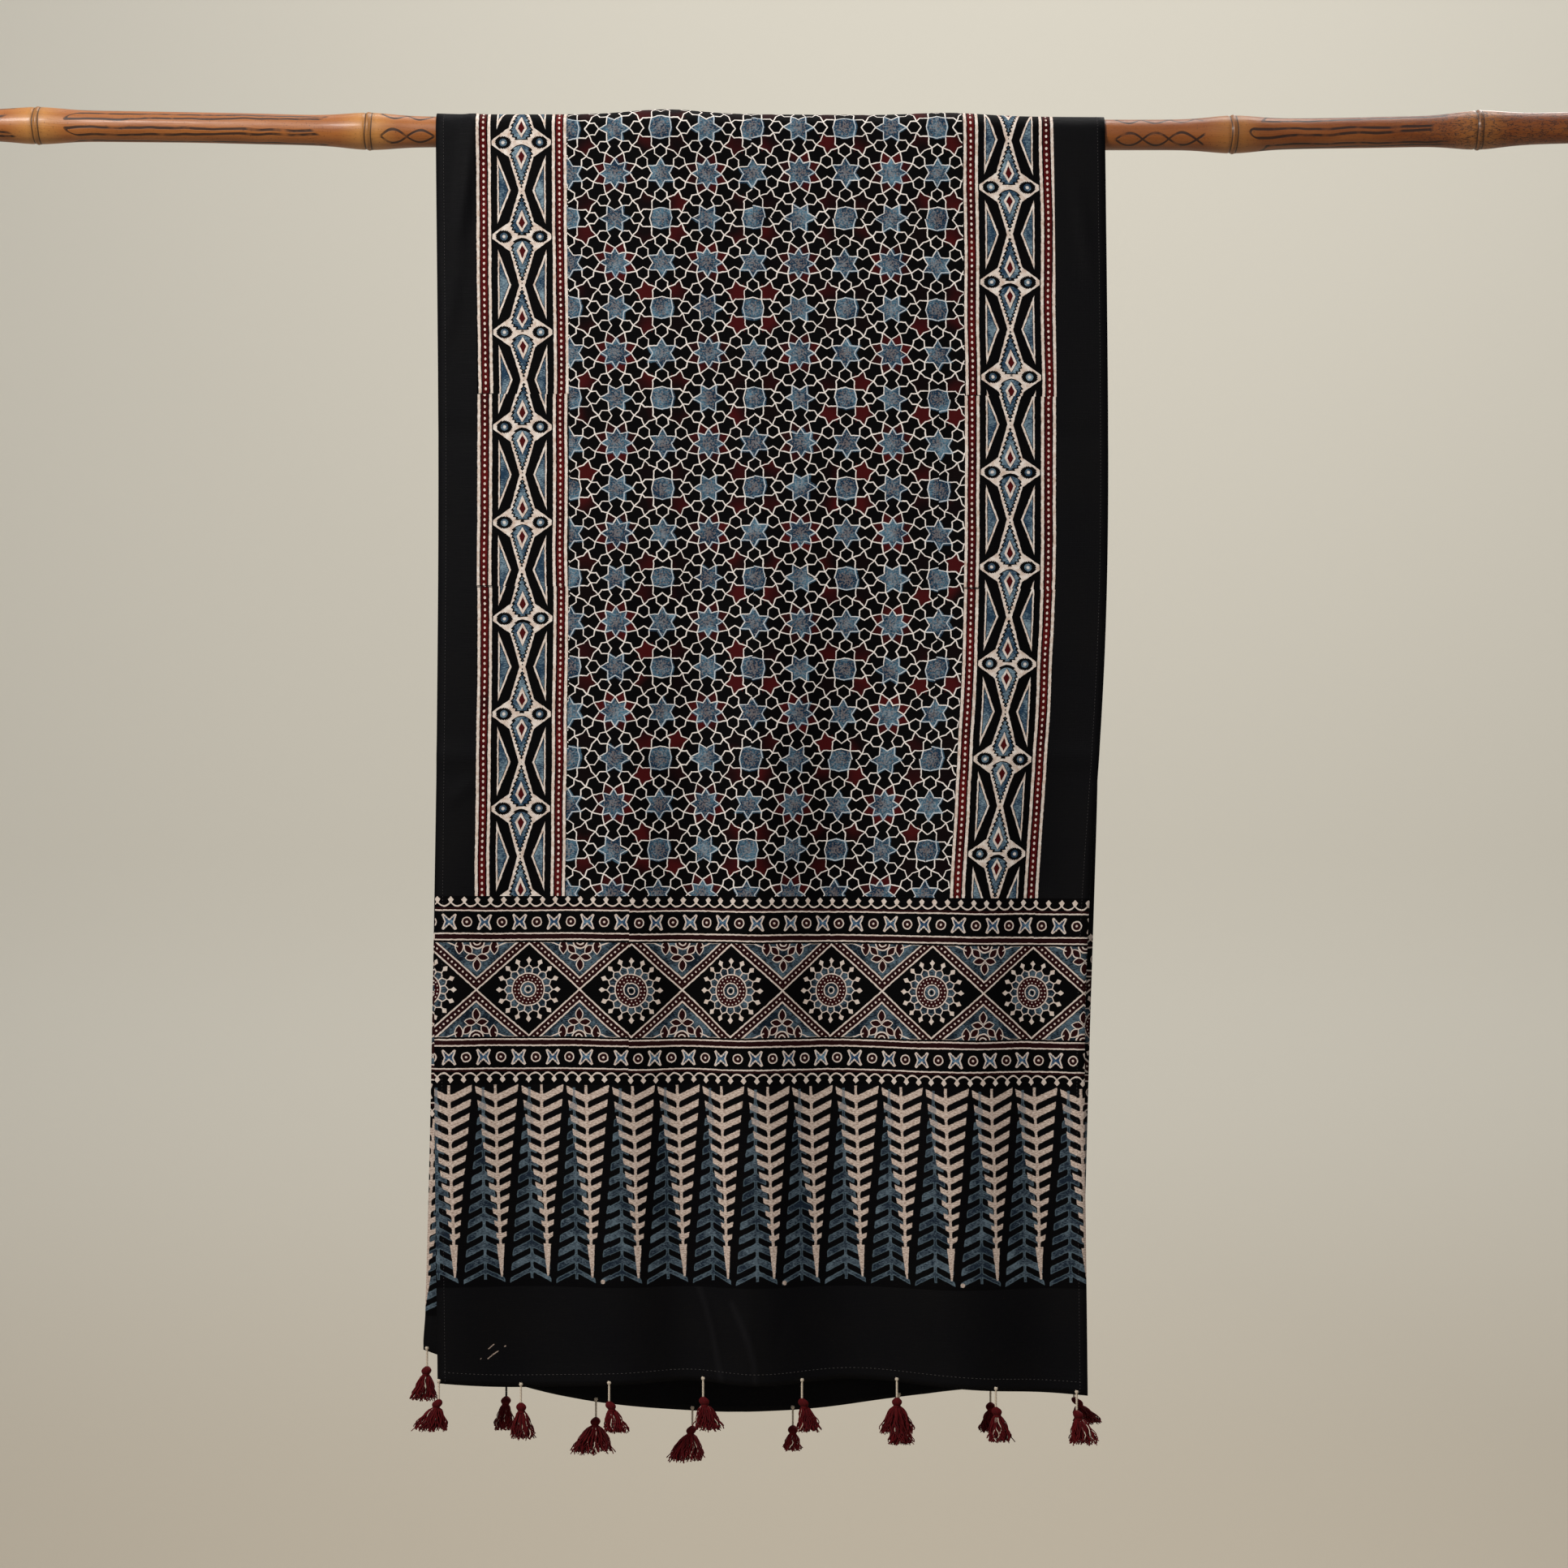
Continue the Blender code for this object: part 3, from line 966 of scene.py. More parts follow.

# %% [markdown]
# ### Plain black ends and margins
#
# The simplest part of the cloth is also the hardest to make look like cloth: a black that isn't
# flat. The weave, the slubs in the yarn and a slow drift of the dye do it. On the front end a
# few threads are scuffed pale near one corner, and two old folds carry painted highlights.

# %% The plain ground
FRONT_SHARE = 0.5             # the unit square's left half is the front of the cloth
PLAIN_GLOSS = 0.07
SCUFFS = (
    ((-231.7, 20.7), (-227.5, 24.0), (-223.3, 26.6)),
    ((-231.1, 28.5), (-226.8, 32.2)),
    ((-238.0, 20.4), (-237.3, 21.0)),
    ((-218.0, 30.0), (-217.2, 30.6)),
)
FOLD_HIGHLIGHTS = (
    ((-64.0, 112.0), (-60.0, 91.0), (-51.0, 66.0), (-45.0, 45.0), (-37.0, 4.0)),
    ((-26.5, 66.0), (-19.5, 51.0), (-13.0, 35.0), (-9.0, 17.0), (-8.0, 3.0)),
)


def ground_material():
    block, flat = new_print("plain_black", dark=dye(4, 4, 7), light=dye(9, 8, 8))
    across, _along = numbers_of(cloth_place(block.tree, "OFBake"))
    front = ink(FRONT_SHARE * 1000.0 - across, 1.0)
    # painted highlight: faint pale lines along two old folds of the front end
    press = ink(2.2 - to_strokes(flat, FOLD_HIGHLIGHTS), 4.0) * front
    block.lay(press * 0.35, dye(26, 25, 27))
    thread = streaks(flat, 0.8, 0.8, roughness=0.6)
    scuff = ink(thread - 0.15 - to_strokes(flat, SCUFFS)) * front
    block.lay(scuff * 0.75, WORN_CREAM)
    return finish_cloth(block, flat, PLAIN_GLOSS)


ground = ground_material()
print("nodes in the plain ground:", len(ground.node_tree.nodes))

# %% [markdown]
# ### The field of stars
#
# The field is one square block of girih-like stars. Fold the place back and forth in both
# directions, and once more over the diagonal, and the whole repeat is a small triangle with an
# eight-pointed rosette at one corner, a six-pointed star at another and an octagon at the
# third. Twenty-two strokes there draw every line of the field.

# %% The star block: sizes, and its strokes in units of half a repeat
STAR_UNIT = (37.6, 36.7)      # half a repeat across and along, in millimetres
STAR_BLOCK = (4.0 * STAR_UNIT[0], 4.0 * STAR_UNIT[1])
STAR_SLIP = (2.0, 2.4)        # how far a block may land from its place, in millimetres
STAR_EDGE = 0.02
STAR_LINE = 0.0220
ROSETTE_AT = (22.4, 986.4)    # the middle of one rosette, in millimetres
STAR_CREAM = dye(230, 221, 212)
STAR_INDIGO = (dye(18, 40, 60), dye(92, 126, 144))
STAR_MADDER = dye(66, 13, 14)
ROSETTE = (0.0, 0.0)
OCTAGON = (1.0, 1.0)
SIX_STAR = (1.0, 0.0)
TIP = (0.33, 0.0)
NOTCH = (0.194, 0.080)
DIAGONAL_TIP = (0.235, 0.235)
PETAL = (0.457, 0.190)
CORNER = (0.805, 0.805)
STAR_STROKES = (
    (TIP, NOTCH, DIAGONAL_TIP),
    (TIP, PETAL, DIAGONAL_TIP),
    (PETAL, (0.598, 0.092), (0.712, 0.160), (0.712, 0.310), (0.607, 0.380), (0.483, 0.318), PETAL),
    ((0.810, 0.0), (0.712, 0.160), (0.905, 0.165), (1.0, 0.335)),
    ((1.0, 0.335), (0.868, 0.425), (0.872, 0.545), (1.0, 0.640)),
    ((0.607, 0.380), (0.708, 0.487), (0.872, 0.545), (0.800, 0.615), CORNER),
    ((0.607, 0.380), (0.545, 0.545)),
    (CORNER, (1.0, 0.757)),
)


def star_fold(over, up):
    """The place folded into one corner of the repeat, and its larger and smaller part."""
    across = folded(over, 1.0)
    along = folded(up, 1.0)
    hi = most(across, along)
    lo = least(across, along)
    return place_of(hi, lo), hi, lo


def petal_edge(place):
    return least(
        within(place, TIP, PETAL, ROSETTE),
        within(place, PETAL, DIAGONAL_TIP, ROSETTE),
    )


def rosette_star(place):
    return most(
        within(place, TIP, NOTCH, ROSETTE),
        within(place, NOTCH, DIAGONAL_TIP, ROSETTE),
    )


def six_pointed_star(place):
    bar = within(place, (0.712, 0.163), (0.905, 0.163), SIX_STAR)
    slant = within(place, (0.810, 0.0), (0.712, 0.163), SIX_STAR)
    return most(within(place, (0.810, 0.0), (1.0, 0.335), SIX_STAR), least(bar, slant))


def five_pointed_star(place, hi, lo):
    middle = (0.66, 0.66)
    high_notch, low_notch, inner_notch = (0.800, 0.615), (0.708, 0.487), (0.545, 0.545)
    side_tip, low_tip = (0.872, 0.545), (0.607, 0.380)

    def inside(start, end):
        return within(place, start, end, middle)

    core = least(1.415 - hi - lo, inside(high_notch, low_notch), inside(low_notch, inner_notch))
    top = least(inside(high_notch, CORNER), hi + lo - 1.25)
    side = least(inside(high_notch, side_tip), inside(side_tip, low_notch), hi - 0.70)
    low = least(inside(low_notch, low_tip), inside(low_tip, inner_notch), 0.55 - lo, lo - 0.36)
    return most(core, top, side, low)


def star_material():
    block, flat = new_print("star_block")
    start = (ROSETTE_AT[0] - STAR_UNIT[0], ROSETTE_AT[1] - 5.0 * STAR_UNIT[1])
    x, y = printed_numbers(flat, STAR_BLOCK, start, STAR_SLIP)
    over = (x - ROSETTE_AT[0]) * (1.0 / STAR_UNIT[0])
    up = (y - ROSETTE_AT[1]) * (1.0 / STAR_UNIT[1])
    spot, hi, lo = star_fold(over, up)
    strokes = to_strokes(spot, STAR_STROKES)
    petals = ink(least(petal_edge(spot), rosette_star(spot) * -1.0), STAR_EDGE)
    small_stars = ink(five_pointed_star(spot, hi, lo), STAR_EDGE)
    drift = clouds(flat, 45.0, 1.0)
    blue_spot = star_fold(over + (drift * 0.12 - 0.075), up + (drift * 0.10 - 0.04))[0]
    octagon = within(blue_spot, CORNER, (1.0, 0.757), OCTAGON)
    blue_edge = most(rosette_star(blue_spot), six_pointed_star(blue_spot), octagon)
    blue = ink(blue_edge + 0.008, STAR_EDGE)
    from_middle = hypotenuse(folded(over, 0.5), folded(up, 0.5))
    swell = clouds(flat, 16.0, 2.0, 0.6)
    width = swell * STAR_LINE + 0.5 * STAR_LINE
    cream = ink(width * 0.5 - strokes, 0.010)
    red_share = clamped(drift, 4.0, -1.6)
    red = mix_dyes(red_share, DARK_MADDER, STAR_MADDER)
    block.lay(petals * 0.9, red)
    block.lay(small_stars * (red_share * 0.7 + 0.15), red)
    block.lay(worn(flat, blue, 0.04), mottled(flat, *STAR_INDIGO))
    speckle = clouds(flat, 1.6, 1.0)
    smudge = ink((speckle * 0.9 - 0.34) - from_middle, 0.08)
    block.lay(smudge * blue * 0.22, WORN_CREAM)
    fleck = ink((speckle * -0.9 + 0.37) - from_middle, 0.05)
    block.lay(fleck * blue * 0.35, DARK_MADDER)
    over_blue = mix_dyes(ink(blue_edge + 0.012, 0.03) * 0.6, STAR_CREAM, PALE_INDIGO)
    block.lay(worn(flat, cream), over_blue)
    joint = least(away(repeated(x - start[0], STAR_BLOCK[0])),
                  away(repeated(y - start[1], STAR_BLOCK[1])))
    block.lay(line(joint, 0.35) * clamped(swell, 4.0, -1.7), BLACK)
    return finish_cloth(block, flat)


stars = star_material()
print("nodes in the star block:", len(stars.node_tree.nodes))

# %% [markdown]
# ### The side border
#
# One narrow block runs up each side of the field: a chain of cream hourglasses on black, each
# with two saw-edged blue drops, point to point, and a pair of eyes between one hourglass and
# the next. A black triangle's heart is blue as well. Beside the chain runs a madder stripe with
# a row of cream dots between two cream lines.

# %% Sizes of the side border, in millimetres
BORDER_MIDDLES = (-204.0, 193.6)      # left and right
EYE_ROWS = (1011.5, 976.4)
EYE_STEP = 77.65                      # from one pair of eyes to the next
EYES_APART = 29.6
PANEL_HALF = 24.7
STRIPE_INNER = 27.9
STRIPE_OUTER = 34.4
BORDER_HALF = 37.2
DOT_STEP = 4.85
SAW_STEP = 3.3
WAIST = 2.6                           # half the hourglass at its narrowest
EYE = (6.1, 4.7)                      # half an eye, across and along
IRIS = 3.0
PUPIL = 1.3
DOTS_AT = 31.1                        # the row of dots in the stripe, and their radius
DOT = 1.2
RAIL = 1.15                           # half of each cream line beside the stripe
SIDE_INDIGO = (dye(30, 52, 72), dye(134, 156, 166))
BORDER_BLOCK = 157.0                  # one print of the block covers two hourglasses
BORDER_START = 21.0                   # where one print of it begins, above the front hem
BORDER_SLIP = (1.0, 1.4)


def side_fold(x, y):
    """Places on the border: across from its middle, and up or down from a crossing."""
    side = sum_node("SIGN", x)
    middle = sum(BORDER_MIDDLES) / 2.0
    across = x - (side * (BORDER_MIDDLES[1] - middle) + middle)
    row = sum(EYE_ROWS) / 2.0
    rise = y - (side * (EYE_ROWS[1] - row) + row)
    return across, rise, away(repeated(rise + EYE_STEP / 2.0, EYE_STEP))


def side_material():
    block, flat = new_print("side_block")
    x, y = printed_numbers(
        flat, (ONE_ACROSS, BORDER_BLOCK), (ACROSS_START, BORDER_START), BORDER_SLIP)
    across, rise, crossing = side_fold(x, y)
    out = away(across)
    eye_row = EYE_STEP / 2.0 - crossing
    blue = mottled(flat, *SIDE_INDIGO)
    black = block.colour
    stain = clouds(flat, 5.0, 3.0, 0.7)
    cream = mix_dyes(clamped(stain, 2.6, -0.85), CREAM, WORN_CREAM)

    waist = most(crossing * 0.285 + WAIST, (crossing - 27.0) * 1.42 + 10.4)
    block.lay(worn(flat, ink(waist - 0.3 - out, 0.35)), cream)
    heart = least(out - crossing * 0.385 - 9.0, 19.8 - out)
    inner = least(out - crossing * 0.385 - 10.9, 18.3 - out)
    block.fill(heart, cream)
    block.lay(line(away(inner), 0.7), BLACK)
    block.fill(inner - 0.2, blue)

    saw = folded(rise + hypotenuse(out, 3.0) * 0.5, SAW_STEP / 2.0) * 0.95
    drop_end = most(crossing - 28.0, 0.0) * 0.93
    drop = least(crossing * 0.330 - 1.3, 8.3) - hypotenuse(out, drop_end) + saw
    block.fill(drop, BLACK)
    block.fill(drop - 1.5, blue)
    kite = least(crossing * 0.42 - 6.9, 21.5 - crossing * 0.61) - out
    block.fill(kite, cream)
    block.fill(kite - 2.0, STAR_MADDER)
    edge_mark = line(away(kite + 0.2), 0.5) * ink(across, 1.0)
    block.lay(edge_mark, BLACK)

    beside = out - EYES_APART / 2.0
    eye = hypotenuse(beside * (1.0 / EYE[0]), eye_row * (1.0 / EYE[1]))
    lashes = folded(out * 1.1 + eye_row * 1.3, 1.1) * 0.14
    block.fill((1.0 - eye + lashes) * 4.0, BLACK)
    iris = hypotenuse(beside, eye_row)
    block.fill(IRIS - iris, blue)
    block.lay(ink(PUPIL - iris, 0.8) * 0.8, CREAM)

    rails_at = (PANEL_HALF + STRIPE_INNER) / 2.0, (STRIPE_OUTER + BORDER_HALF) / 2.0
    block.fill(out - PANEL_HALF + 0.6, black)
    redness = clouds(flat, 30.0, 1.0) * 1.2 + 0.1
    stripe = ink(2.6 - away(out - (STRIPE_INNER + STRIPE_OUTER) / 2.0), 0.8)
    block.lay(stripe * redness, MADDER)
    rails = least(*[away(out - middle) for middle in rails_at])
    dots = hypotenuse((out - DOTS_AT) * 1.35, repeated(y, DOT_STEP)) * -1.0 + DOT
    block.lay(worn(flat, ink(most(RAIL - rails, dots), 0.35)), cream)
    joint = away(repeated(y - BORDER_START, BORDER_BLOCK))
    block.lay(line(joint, 0.7) * ink(across * -1.0 - 24.0, 2.0), BLACK)
    return finish_cloth(block, flat)


side = side_material()
print("nodes in the side border:", len(side.node_tree.nodes))

# %% [markdown]
# ### The band of wheels and diamonds
#
# The pallu, the show end of the cloth, starts with a band of diamonds. Each holds a wheel of
# dots with sixteen blue cells and sixteen spikes. Between the diamonds stand blue triangles
# with a leafy flower. The band's own mirror line runs along its middle, so only one quarter of
# a diamond is drawn.

# %% Sizes of the diamond band, in millimetres
BAND_MIDDLE = (LOWER_RINGS_TOP + DIAMONDS_TOP) * 500.0
BAND_HALF = (DIAMONDS_TOP - LOWER_RINGS_TOP) * 500.0
DIAMOND_AT = -26.0
DIAMOND_STEP = 85.2
DIAMOND_HALF = (42.6, 37.4)
FRAME_WIDTH = 6.9
LINE_WIDTH = 1.25
BAND_INDIGO = (dye(15, 24, 34), dye(92, 112, 124))
HUB_MADDER = dye(44, 10, 12)
SPOKES = 16
OUTER_DOTS = 22
HUB = 1.4                     # radii of the wheel, from its middle outwards
HUB_RINGS = (6.1, 2.7)
DOT_ROWS = (8.2, 11.0)
DOT_RADIUS = 0.56
CELLS_FROM = 13.1
CELLS_TO = 19.7
SPIKES_TO = 26.4
BAND_BLOCK = (171.0, ONE_ACROSS)
BAND_START = (57.8, ACROSS_START)
BAND_SLIP = (1.0, 1.8)


def leaf(x, y, half_length, half_width):
    """Distance inside a pointed leaf that lies along y."""
    share = y * (1.0 / half_length)
    return (1.0 - share * share) * half_width - away(x)


def paint_wheel(block, p, q, blue, cream):
    """A wheel of cells, spikes and dots round the middle of a diamond."""
    radius = hypotenuse(p, q)
    sector = 2.0 * math.pi / SPOKES
    turn = repeated(sum_node("ARCTAN2", q, p), sector)
    aside = away(turn) * radius
    wall = (sector / 2.0 - away(turn)) * radius
    arch = CELLS_TO - aside * 0.72 - radius
    block.fill(least(arch, radius - 13.4), blue)
    walls = least(ink(0.5 - wall), ink(least(arch, radius - 13.0)))
    spike = least(most((radius - 20.9) * 0.72, 0.45), (SPIKES_TO - radius) * 0.88) - aside
    rim = least(away(arch) * 0.9, away(radius - CELLS_FROM))
    drawn = most(line(rim, 0.95), walls, ink(spike) * ink(radius - 19.6))
    block.fill(12.8 - radius, mix_dyes(ink(radius - 6.5), blue, HUB_MADDER))
    inner_dots = hypotenuse(aside, radius - DOT_ROWS[0])
    outer_turn = repeated(sum_node("ARCTAN2", q, p), 2.0 * math.pi / OUTER_DOTS)
    outer_dots = hypotenuse(outer_turn * radius, radius - DOT_ROWS[1])
    dots = ink(DOT_RADIUS - least(inner_dots, outer_dots), 0.25)
    hub_rings = least(*[away(radius - ring) for ring in HUB_RINGS])
    drawn = most(drawn, dots, line(hub_rings, 0.9))
    block.lay(worn(place_of(p, q), drawn, 0.04), cream)
    block.fill(HUB - radius, BLACK)


def paint_flower(block, aside, rise, cream):
    """The leaves in a triangle: aside from its axis, rise from the band's edge."""
    leaves = (
        leaf(aside, rise - 19.0, 5.4, 3.5),
        leaf(*turned(rise - 12.9, aside - 4.8, math.radians(-8.0)), 5.2, 3.2),
        leaf(*turned(aside - 7.2, rise - 6.6, math.radians(42.0)), 4.8, 3.3),
        leaf(aside - 14.2, rise - 4.6, 6.4, 3.7),
    )
    for shape in leaves:
        block.fill(shape, cream)
        block.fill(shape - 0.9, DARK_MADDER)
    core = hypotenuse(aside, rise)
    block.fill(6.3 - core, DARK_MADDER)
    swash = away(rise - most((24.5 - aside) * 0.42, 0.0) - 0.6) * ink(aside - 15.0, 0.5)
    swash = swash + ink(15.0 - aside, 0.5) * 9.0
    block.lay(line(least(away(core - 5.9), away(core - 2.9), swash), 1.1), cream)


def diamond_material():
    block, flat = new_print("diamond_block")
    x, y = printed_numbers(flat, BAND_BLOCK, BAND_START, BAND_SLIP)
    p = repeated(x - DIAMOND_AT, DIAMOND_STEP)
    q = y - BAND_MIDDLE
    out, up = away(p), away(q)
    black = block.colour
    blue = mottled(flat, *BAND_INDIGO)
    cream = stained_cream(flat)
    slope = math.hypot(*DIAMOND_HALF)
    steepness = DIAMOND_HALF[0] * DIAMOND_HALF[1] / slope
    edge = (out * (1.0 / DIAMOND_HALF[0]) + up * (1.0 / DIAMOND_HALF[1]) - 1.0) * steepness
    block.fill(edge - FRAME_WIDTH, blue)
    paint_flower(block, DIAMOND_HALF[0] - out, BAND_HALF - up, cream)
    block.colour = mix_dyes(ink(edge - (FRAME_WIDTH + 1.0)), black, block.colour)
    block.lay(least(ink(edge), ink(FRAME_WIDTH - edge)), DARK_MADDER)
    paint_wheel(block, p, q, blue, cream)
    along = (out * DIAMOND_HALF[0] - up * DIAMOND_HALF[1]) * (1.0 / slope)
    dots = hypotenuse(edge - 3.5, repeated(along + 2.0, 4.0)) * -1.0 + 0.8
    rails = least(away(edge), away(edge - FRAME_WIDTH)) * -1.0 + LINE_WIDTH / 2.0
    shapes = worn(flat, ink(most(dots, rails)))
    block.lay(shapes * ink(BAND_HALF - 0.6 - up, 0.4), cream)
    block.fill(up - BAND_HALF + 0.9, black)
    return finish_cloth(block, flat)


diamonds = diamond_material()
print("nodes in the diamond band:", len(diamonds.node_tree.nodes))

# %% [markdown]
# ### Rings, butterflies and combs
#
# A strip above and below the diamonds carries small rings and butterflies by turns, and its
# outer edge ends in a row of little arches with a bud on every point. The lower strip is the
# upper one turned over, so both are one drawing in the distance from the band's middle.

# %% The ring strips
RING_ROW = 54.9               # from the band's middle to the row of rings
RING_STEP = DIAMOND_STEP / 3.0
RING_AT = -20.0
BUD_STEP = DIAMOND_STEP / 8.0
RING_RADIUS = 3.7
RING_DOT = 0.95
ARCHES_FROM = 12.9            # from the row of rings to the arches, and the ends of the buds
BUDS = (14.6, 20.9)


def ring_material():
    block, flat = new_print("ring_block")
    x, y = printed_numbers(flat, BAND_BLOCK, BAND_START, BAND_SLIP)
    out = away(y - BAND_MIDDLE) - RING_ROW
    blue = mottled(flat, DEEP_INDIGO, PALE_INDIGO)
    cream = stained_cream(flat)
    bud = away(repeated(x - DIAMOND_AT, BUD_STEP))
    from_hollow = BUD_STEP / 2.0 - bud
    arch = from_hollow * from_hollow * 0.115 + ARCHES_FROM
    madder = most(ink(2.6 - away(out + 12.1), 0.5), ink(1.0 - away(out - 10.8), 0.5))
    block.lay(madder * 0.9, DARK_MADDER)
    ring = hypotenuse(repeated(x - RING_AT, RING_STEP), out)
    block.fill(3.2 - ring, DARK_MADDER)
    wing = away(repeated(x - RING_AT - RING_STEP / 2.0, RING_STEP))
    rise = away(out)
    waist = least((2.3 + wing * 0.95 - rise) * 0.72, (3.9 + rise * 0.38 - wing) * 0.93)
    wings = least(waist, 6.4 - rise, 8.2 - hypotenuse(wing, rise))
    block.fill(wings, cream)
    block.fill(wings - 1.1, blue)
    seed = hypotenuse(wing - 2.2, (rise - 3.4) * 0.6)
    block.lay(line(away(seed - 0.9), 0.5) * 0.6, BLACK)
    rails = least(away(out + 14.6), away(out + 9.5), away(out - 9.4))
    buds = least((out - BUDS[0]) * 0.60, (BUDS[1] - out) * 0.95) - bud
    shapes = most(
        line(rails, 1.15),
        line(away(ring - RING_RADIUS), 1.0),
        ink(RING_DOT - ring),
        line(away(out - arch), 1.35),
        ink(buds) * ink(out - 15.0),
    )
    block.lay(worn(flat, shapes), cream)
    return finish_cloth(block, flat)


rings = ring_material()
print("nodes in the ring strips:", len(rings.node_tree.nodes))

# %% [markdown]
# ### The row of trees
#
# Below the bands stand the trees of the pallu. One block prints a resist of cream chevrons that
# shrink downwards to a spike. Another, for the indigo, prints the same tree the other way up
# and a little to the left, so the two overlap like fish bones.

# %% Trees, in millimetres from the top of their row
TREE_ROW_TOP = TREES_TOP * 1000.0
TREE_STEP = 38.0
TREE_AT = 4.2
TREE_LEAN = 0.026
TREE_BLOCK = (4.0 * TREE_STEP, ONE_ACROSS)
TREE_START = (23.2, ACROSS_START)
TREE_SLIP = (0.8, 1.6)
BLUE_OFFSET = (-10.0, -0.022)         # left of the cream tree at the top, and more below
BLUE_RANK = 11.3                      # from one pair of blue branches to the next
STEM_END = 133.0
SPIKE_ENDS = (130.6, 157.0)
BLUE_STEM_END = 159.0
STRAY_AT = (17.0, 160.5)              # a dot left by the block's corner


def tree_material():
    block, flat = new_print("tree_block", dark=dye(3, 3, 5), light=dye(7, 6, 6))
    x, y = printed_numbers(flat, TREE_BLOCK, TREE_START, TREE_SLIP)
    down = TREE_ROW_TOP - y
    leaning = x - TREE_AT - down * TREE_LEAN
    aside = repeated(leaning, TREE_STEP)
    level = down + away(aside) * 0.48 - 12.4
    rank = level * (level * 7.5e-5 + 0.0893)
    arms = (0.252 - level * 0.0004 - away(repeated(rank, 1.0))) * 10.5
    reach = 17.4 - level * 0.119 - away(aside - 1.2)
    ranks = least(rank + 0.4, 11.4 - rank) * 10.0
    arms = softly("MIN", softly("MIN", arms, reach, 1.0), ranks, 1.0)
    spike = least(3.1 - (down - 131.0) * 0.092 - away(aside), down - SPIKE_ENDS[0],
                  SPIKE_ENDS[1] - down)
    stem = least(1.05 - away(aside), down - 1.0, STEM_END - down)
    cream_tree = softly("MAX", softly("MAX", arms, stem, 2.4), spike, 0.6)

    blue_aside = repeated(leaning - BLUE_OFFSET[0] - down * BLUE_OFFSET[1], TREE_STEP)
    blue_level = down - away(blue_aside) * 0.5 - 6.0
    blue_arms = (0.268 - away(repeated(blue_level * (1.0 / BLUE_RANK), 1.0))) * 10.8
    blue_reach = 2.2 + blue_level * 0.100 - away(blue_aside + 0.8)
    blue_ends = least(blue_level - 6.0, 147.5 - blue_level)
    blue_stem = least(1.1 - away(blue_aside), down - 3.0, BLUE_STEM_END - down)
    blue_arms = softly("MIN", softly("MIN", blue_arms, blue_reach, 2.2), blue_ends, 0.5)
    blue_tree = softly("MAX", blue_arms, blue_stem, 2.2)

    night = mottled(flat, dye(24, 34, 46), dye(104, 120, 130))
    blue_edge = mix_dyes(ink(away(blue_tree) * -1.0 + 0.7, 0.5) * 0.5, night, dye(92, 110, 118))
    blue_share = worn(flat, ink(blue_tree, 0.4), 0.08)
    block.lay(blue_share * 0.92, blue_edge)
    dull = clamped(streaks(flat, 0.4, 1.2), 2.4, -0.75)
    pale = mix_dyes(dull, dye(212, 194, 180), dye(140, 118, 104))
    greyed = mix_dyes(blue_share * ink(30.0 - down, 40.0) * 0.7, pale, dye(96, 104, 112))
    block.lay(worn(flat, ink(cream_tree, 0.4), 0.04), greyed)
    stray = hypotenuse(repeated(x - STRAY_AT[0], TREE_BLOCK[0]), down - STRAY_AT[1])
    block.lay(ink(1.8 - stray, 0.5) * 0.9, pale)
    return finish_cloth(block, flat)


trees = tree_material()
print("nodes in the tree row:", len(trees.node_tree.nodes))

# %% [markdown]
# ## The cloth itself
#
# The sheet gets its thickness with Solidify, half to each side, so that it stays on the surface
# that was worked out for it. Each part of the print has its own material on the same mesh.

# %% The stole as one piece
PRINTS = {
    "ground": ground,
    "trees": trees,
    "rings": rings,
    "diamonds": diamonds,
    "stars": stars,
    "side": side,
}
cloth = add_piece("stole", cloth_mesh, *[PRINTS[name] for name in PATTERNS])
thickness = cloth.modifiers.new("thickness", "SOLIDIFY")
thickness.thickness = CLOTH_THICKNESS
thickness.offset = 0.0
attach(cloth, "root")
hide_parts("cloth")
print("the stole:", len(cloth_mesh.polygons), "faces before its thickness")

# %% [markdown]
# ## The bamboo pole
#
# The pole is one cane of bamboo, warmed over a flame to burn the scrolls into its skin and then
# lacquered. A cane isn't a plain tube: it flares towards each joint, carries a sharp ridge
# there with a groove beside it, and bends a little from one joint to the next. So it is skinned
# ring by ring, with rings close together at the joints, and each end is cut square and shows
# the hollow.

# %% The cane's mesh
POLE_LENGTH = 1.360
POLE_SIDES = 48
FLARE = 0.026                 # how far a joint's flare reaches
RIDGE = 0.0014
GROOVE_AT = 0.0026
GROOVE_DEPTH = 0.0005
GROOVE = 0.0009
WALL = 0.0034
HOLLOW_DEPTH = 0.020
RING_EVERY = 0.005            # from one ring of the skin to the next
RING_AT_JOINT = 0.0007        # and close to a joint
RINGS_AT_JOINT = 16           # to each side
RING_LEAST = 0.0004
OVAL = 0.012


def cane_radius(along):
    radius = CANE_RADIUS + 0.00025 * noise.noise(Vector((along * 14.0, 0.0, 2.0)))
    for joint in JOINTS:
        offset = along - joint.along
        radius += joint.swell * 0.86 * math.exp(-((offset / FLARE) ** 2))
        radius += joint.swell * 0.20 * math.exp(-((offset / RIDGE) ** 2))
        radius -= GROOVE_DEPTH * math.exp(-(((offset + GROOVE_AT) / GROOVE) ** 2))
    return radius


def cane_stations():
    half = POLE_LENGTH / 2.0
    places = [-half + RING_EVERY * k for k in range(round(POLE_LENGTH / RING_EVERY) + 1)]
    for joint in JOINTS:
        near_joint = range(-RINGS_AT_JOINT, RINGS_AT_JOINT + 1)
        places += [joint.along + RING_AT_JOINT * k for k in near_joint]
    places.sort()
    kept = [places[0]]
    for place in places[1:]:
        if place - kept[-1] > RING_LEAST:
            kept.append(place)
    return kept


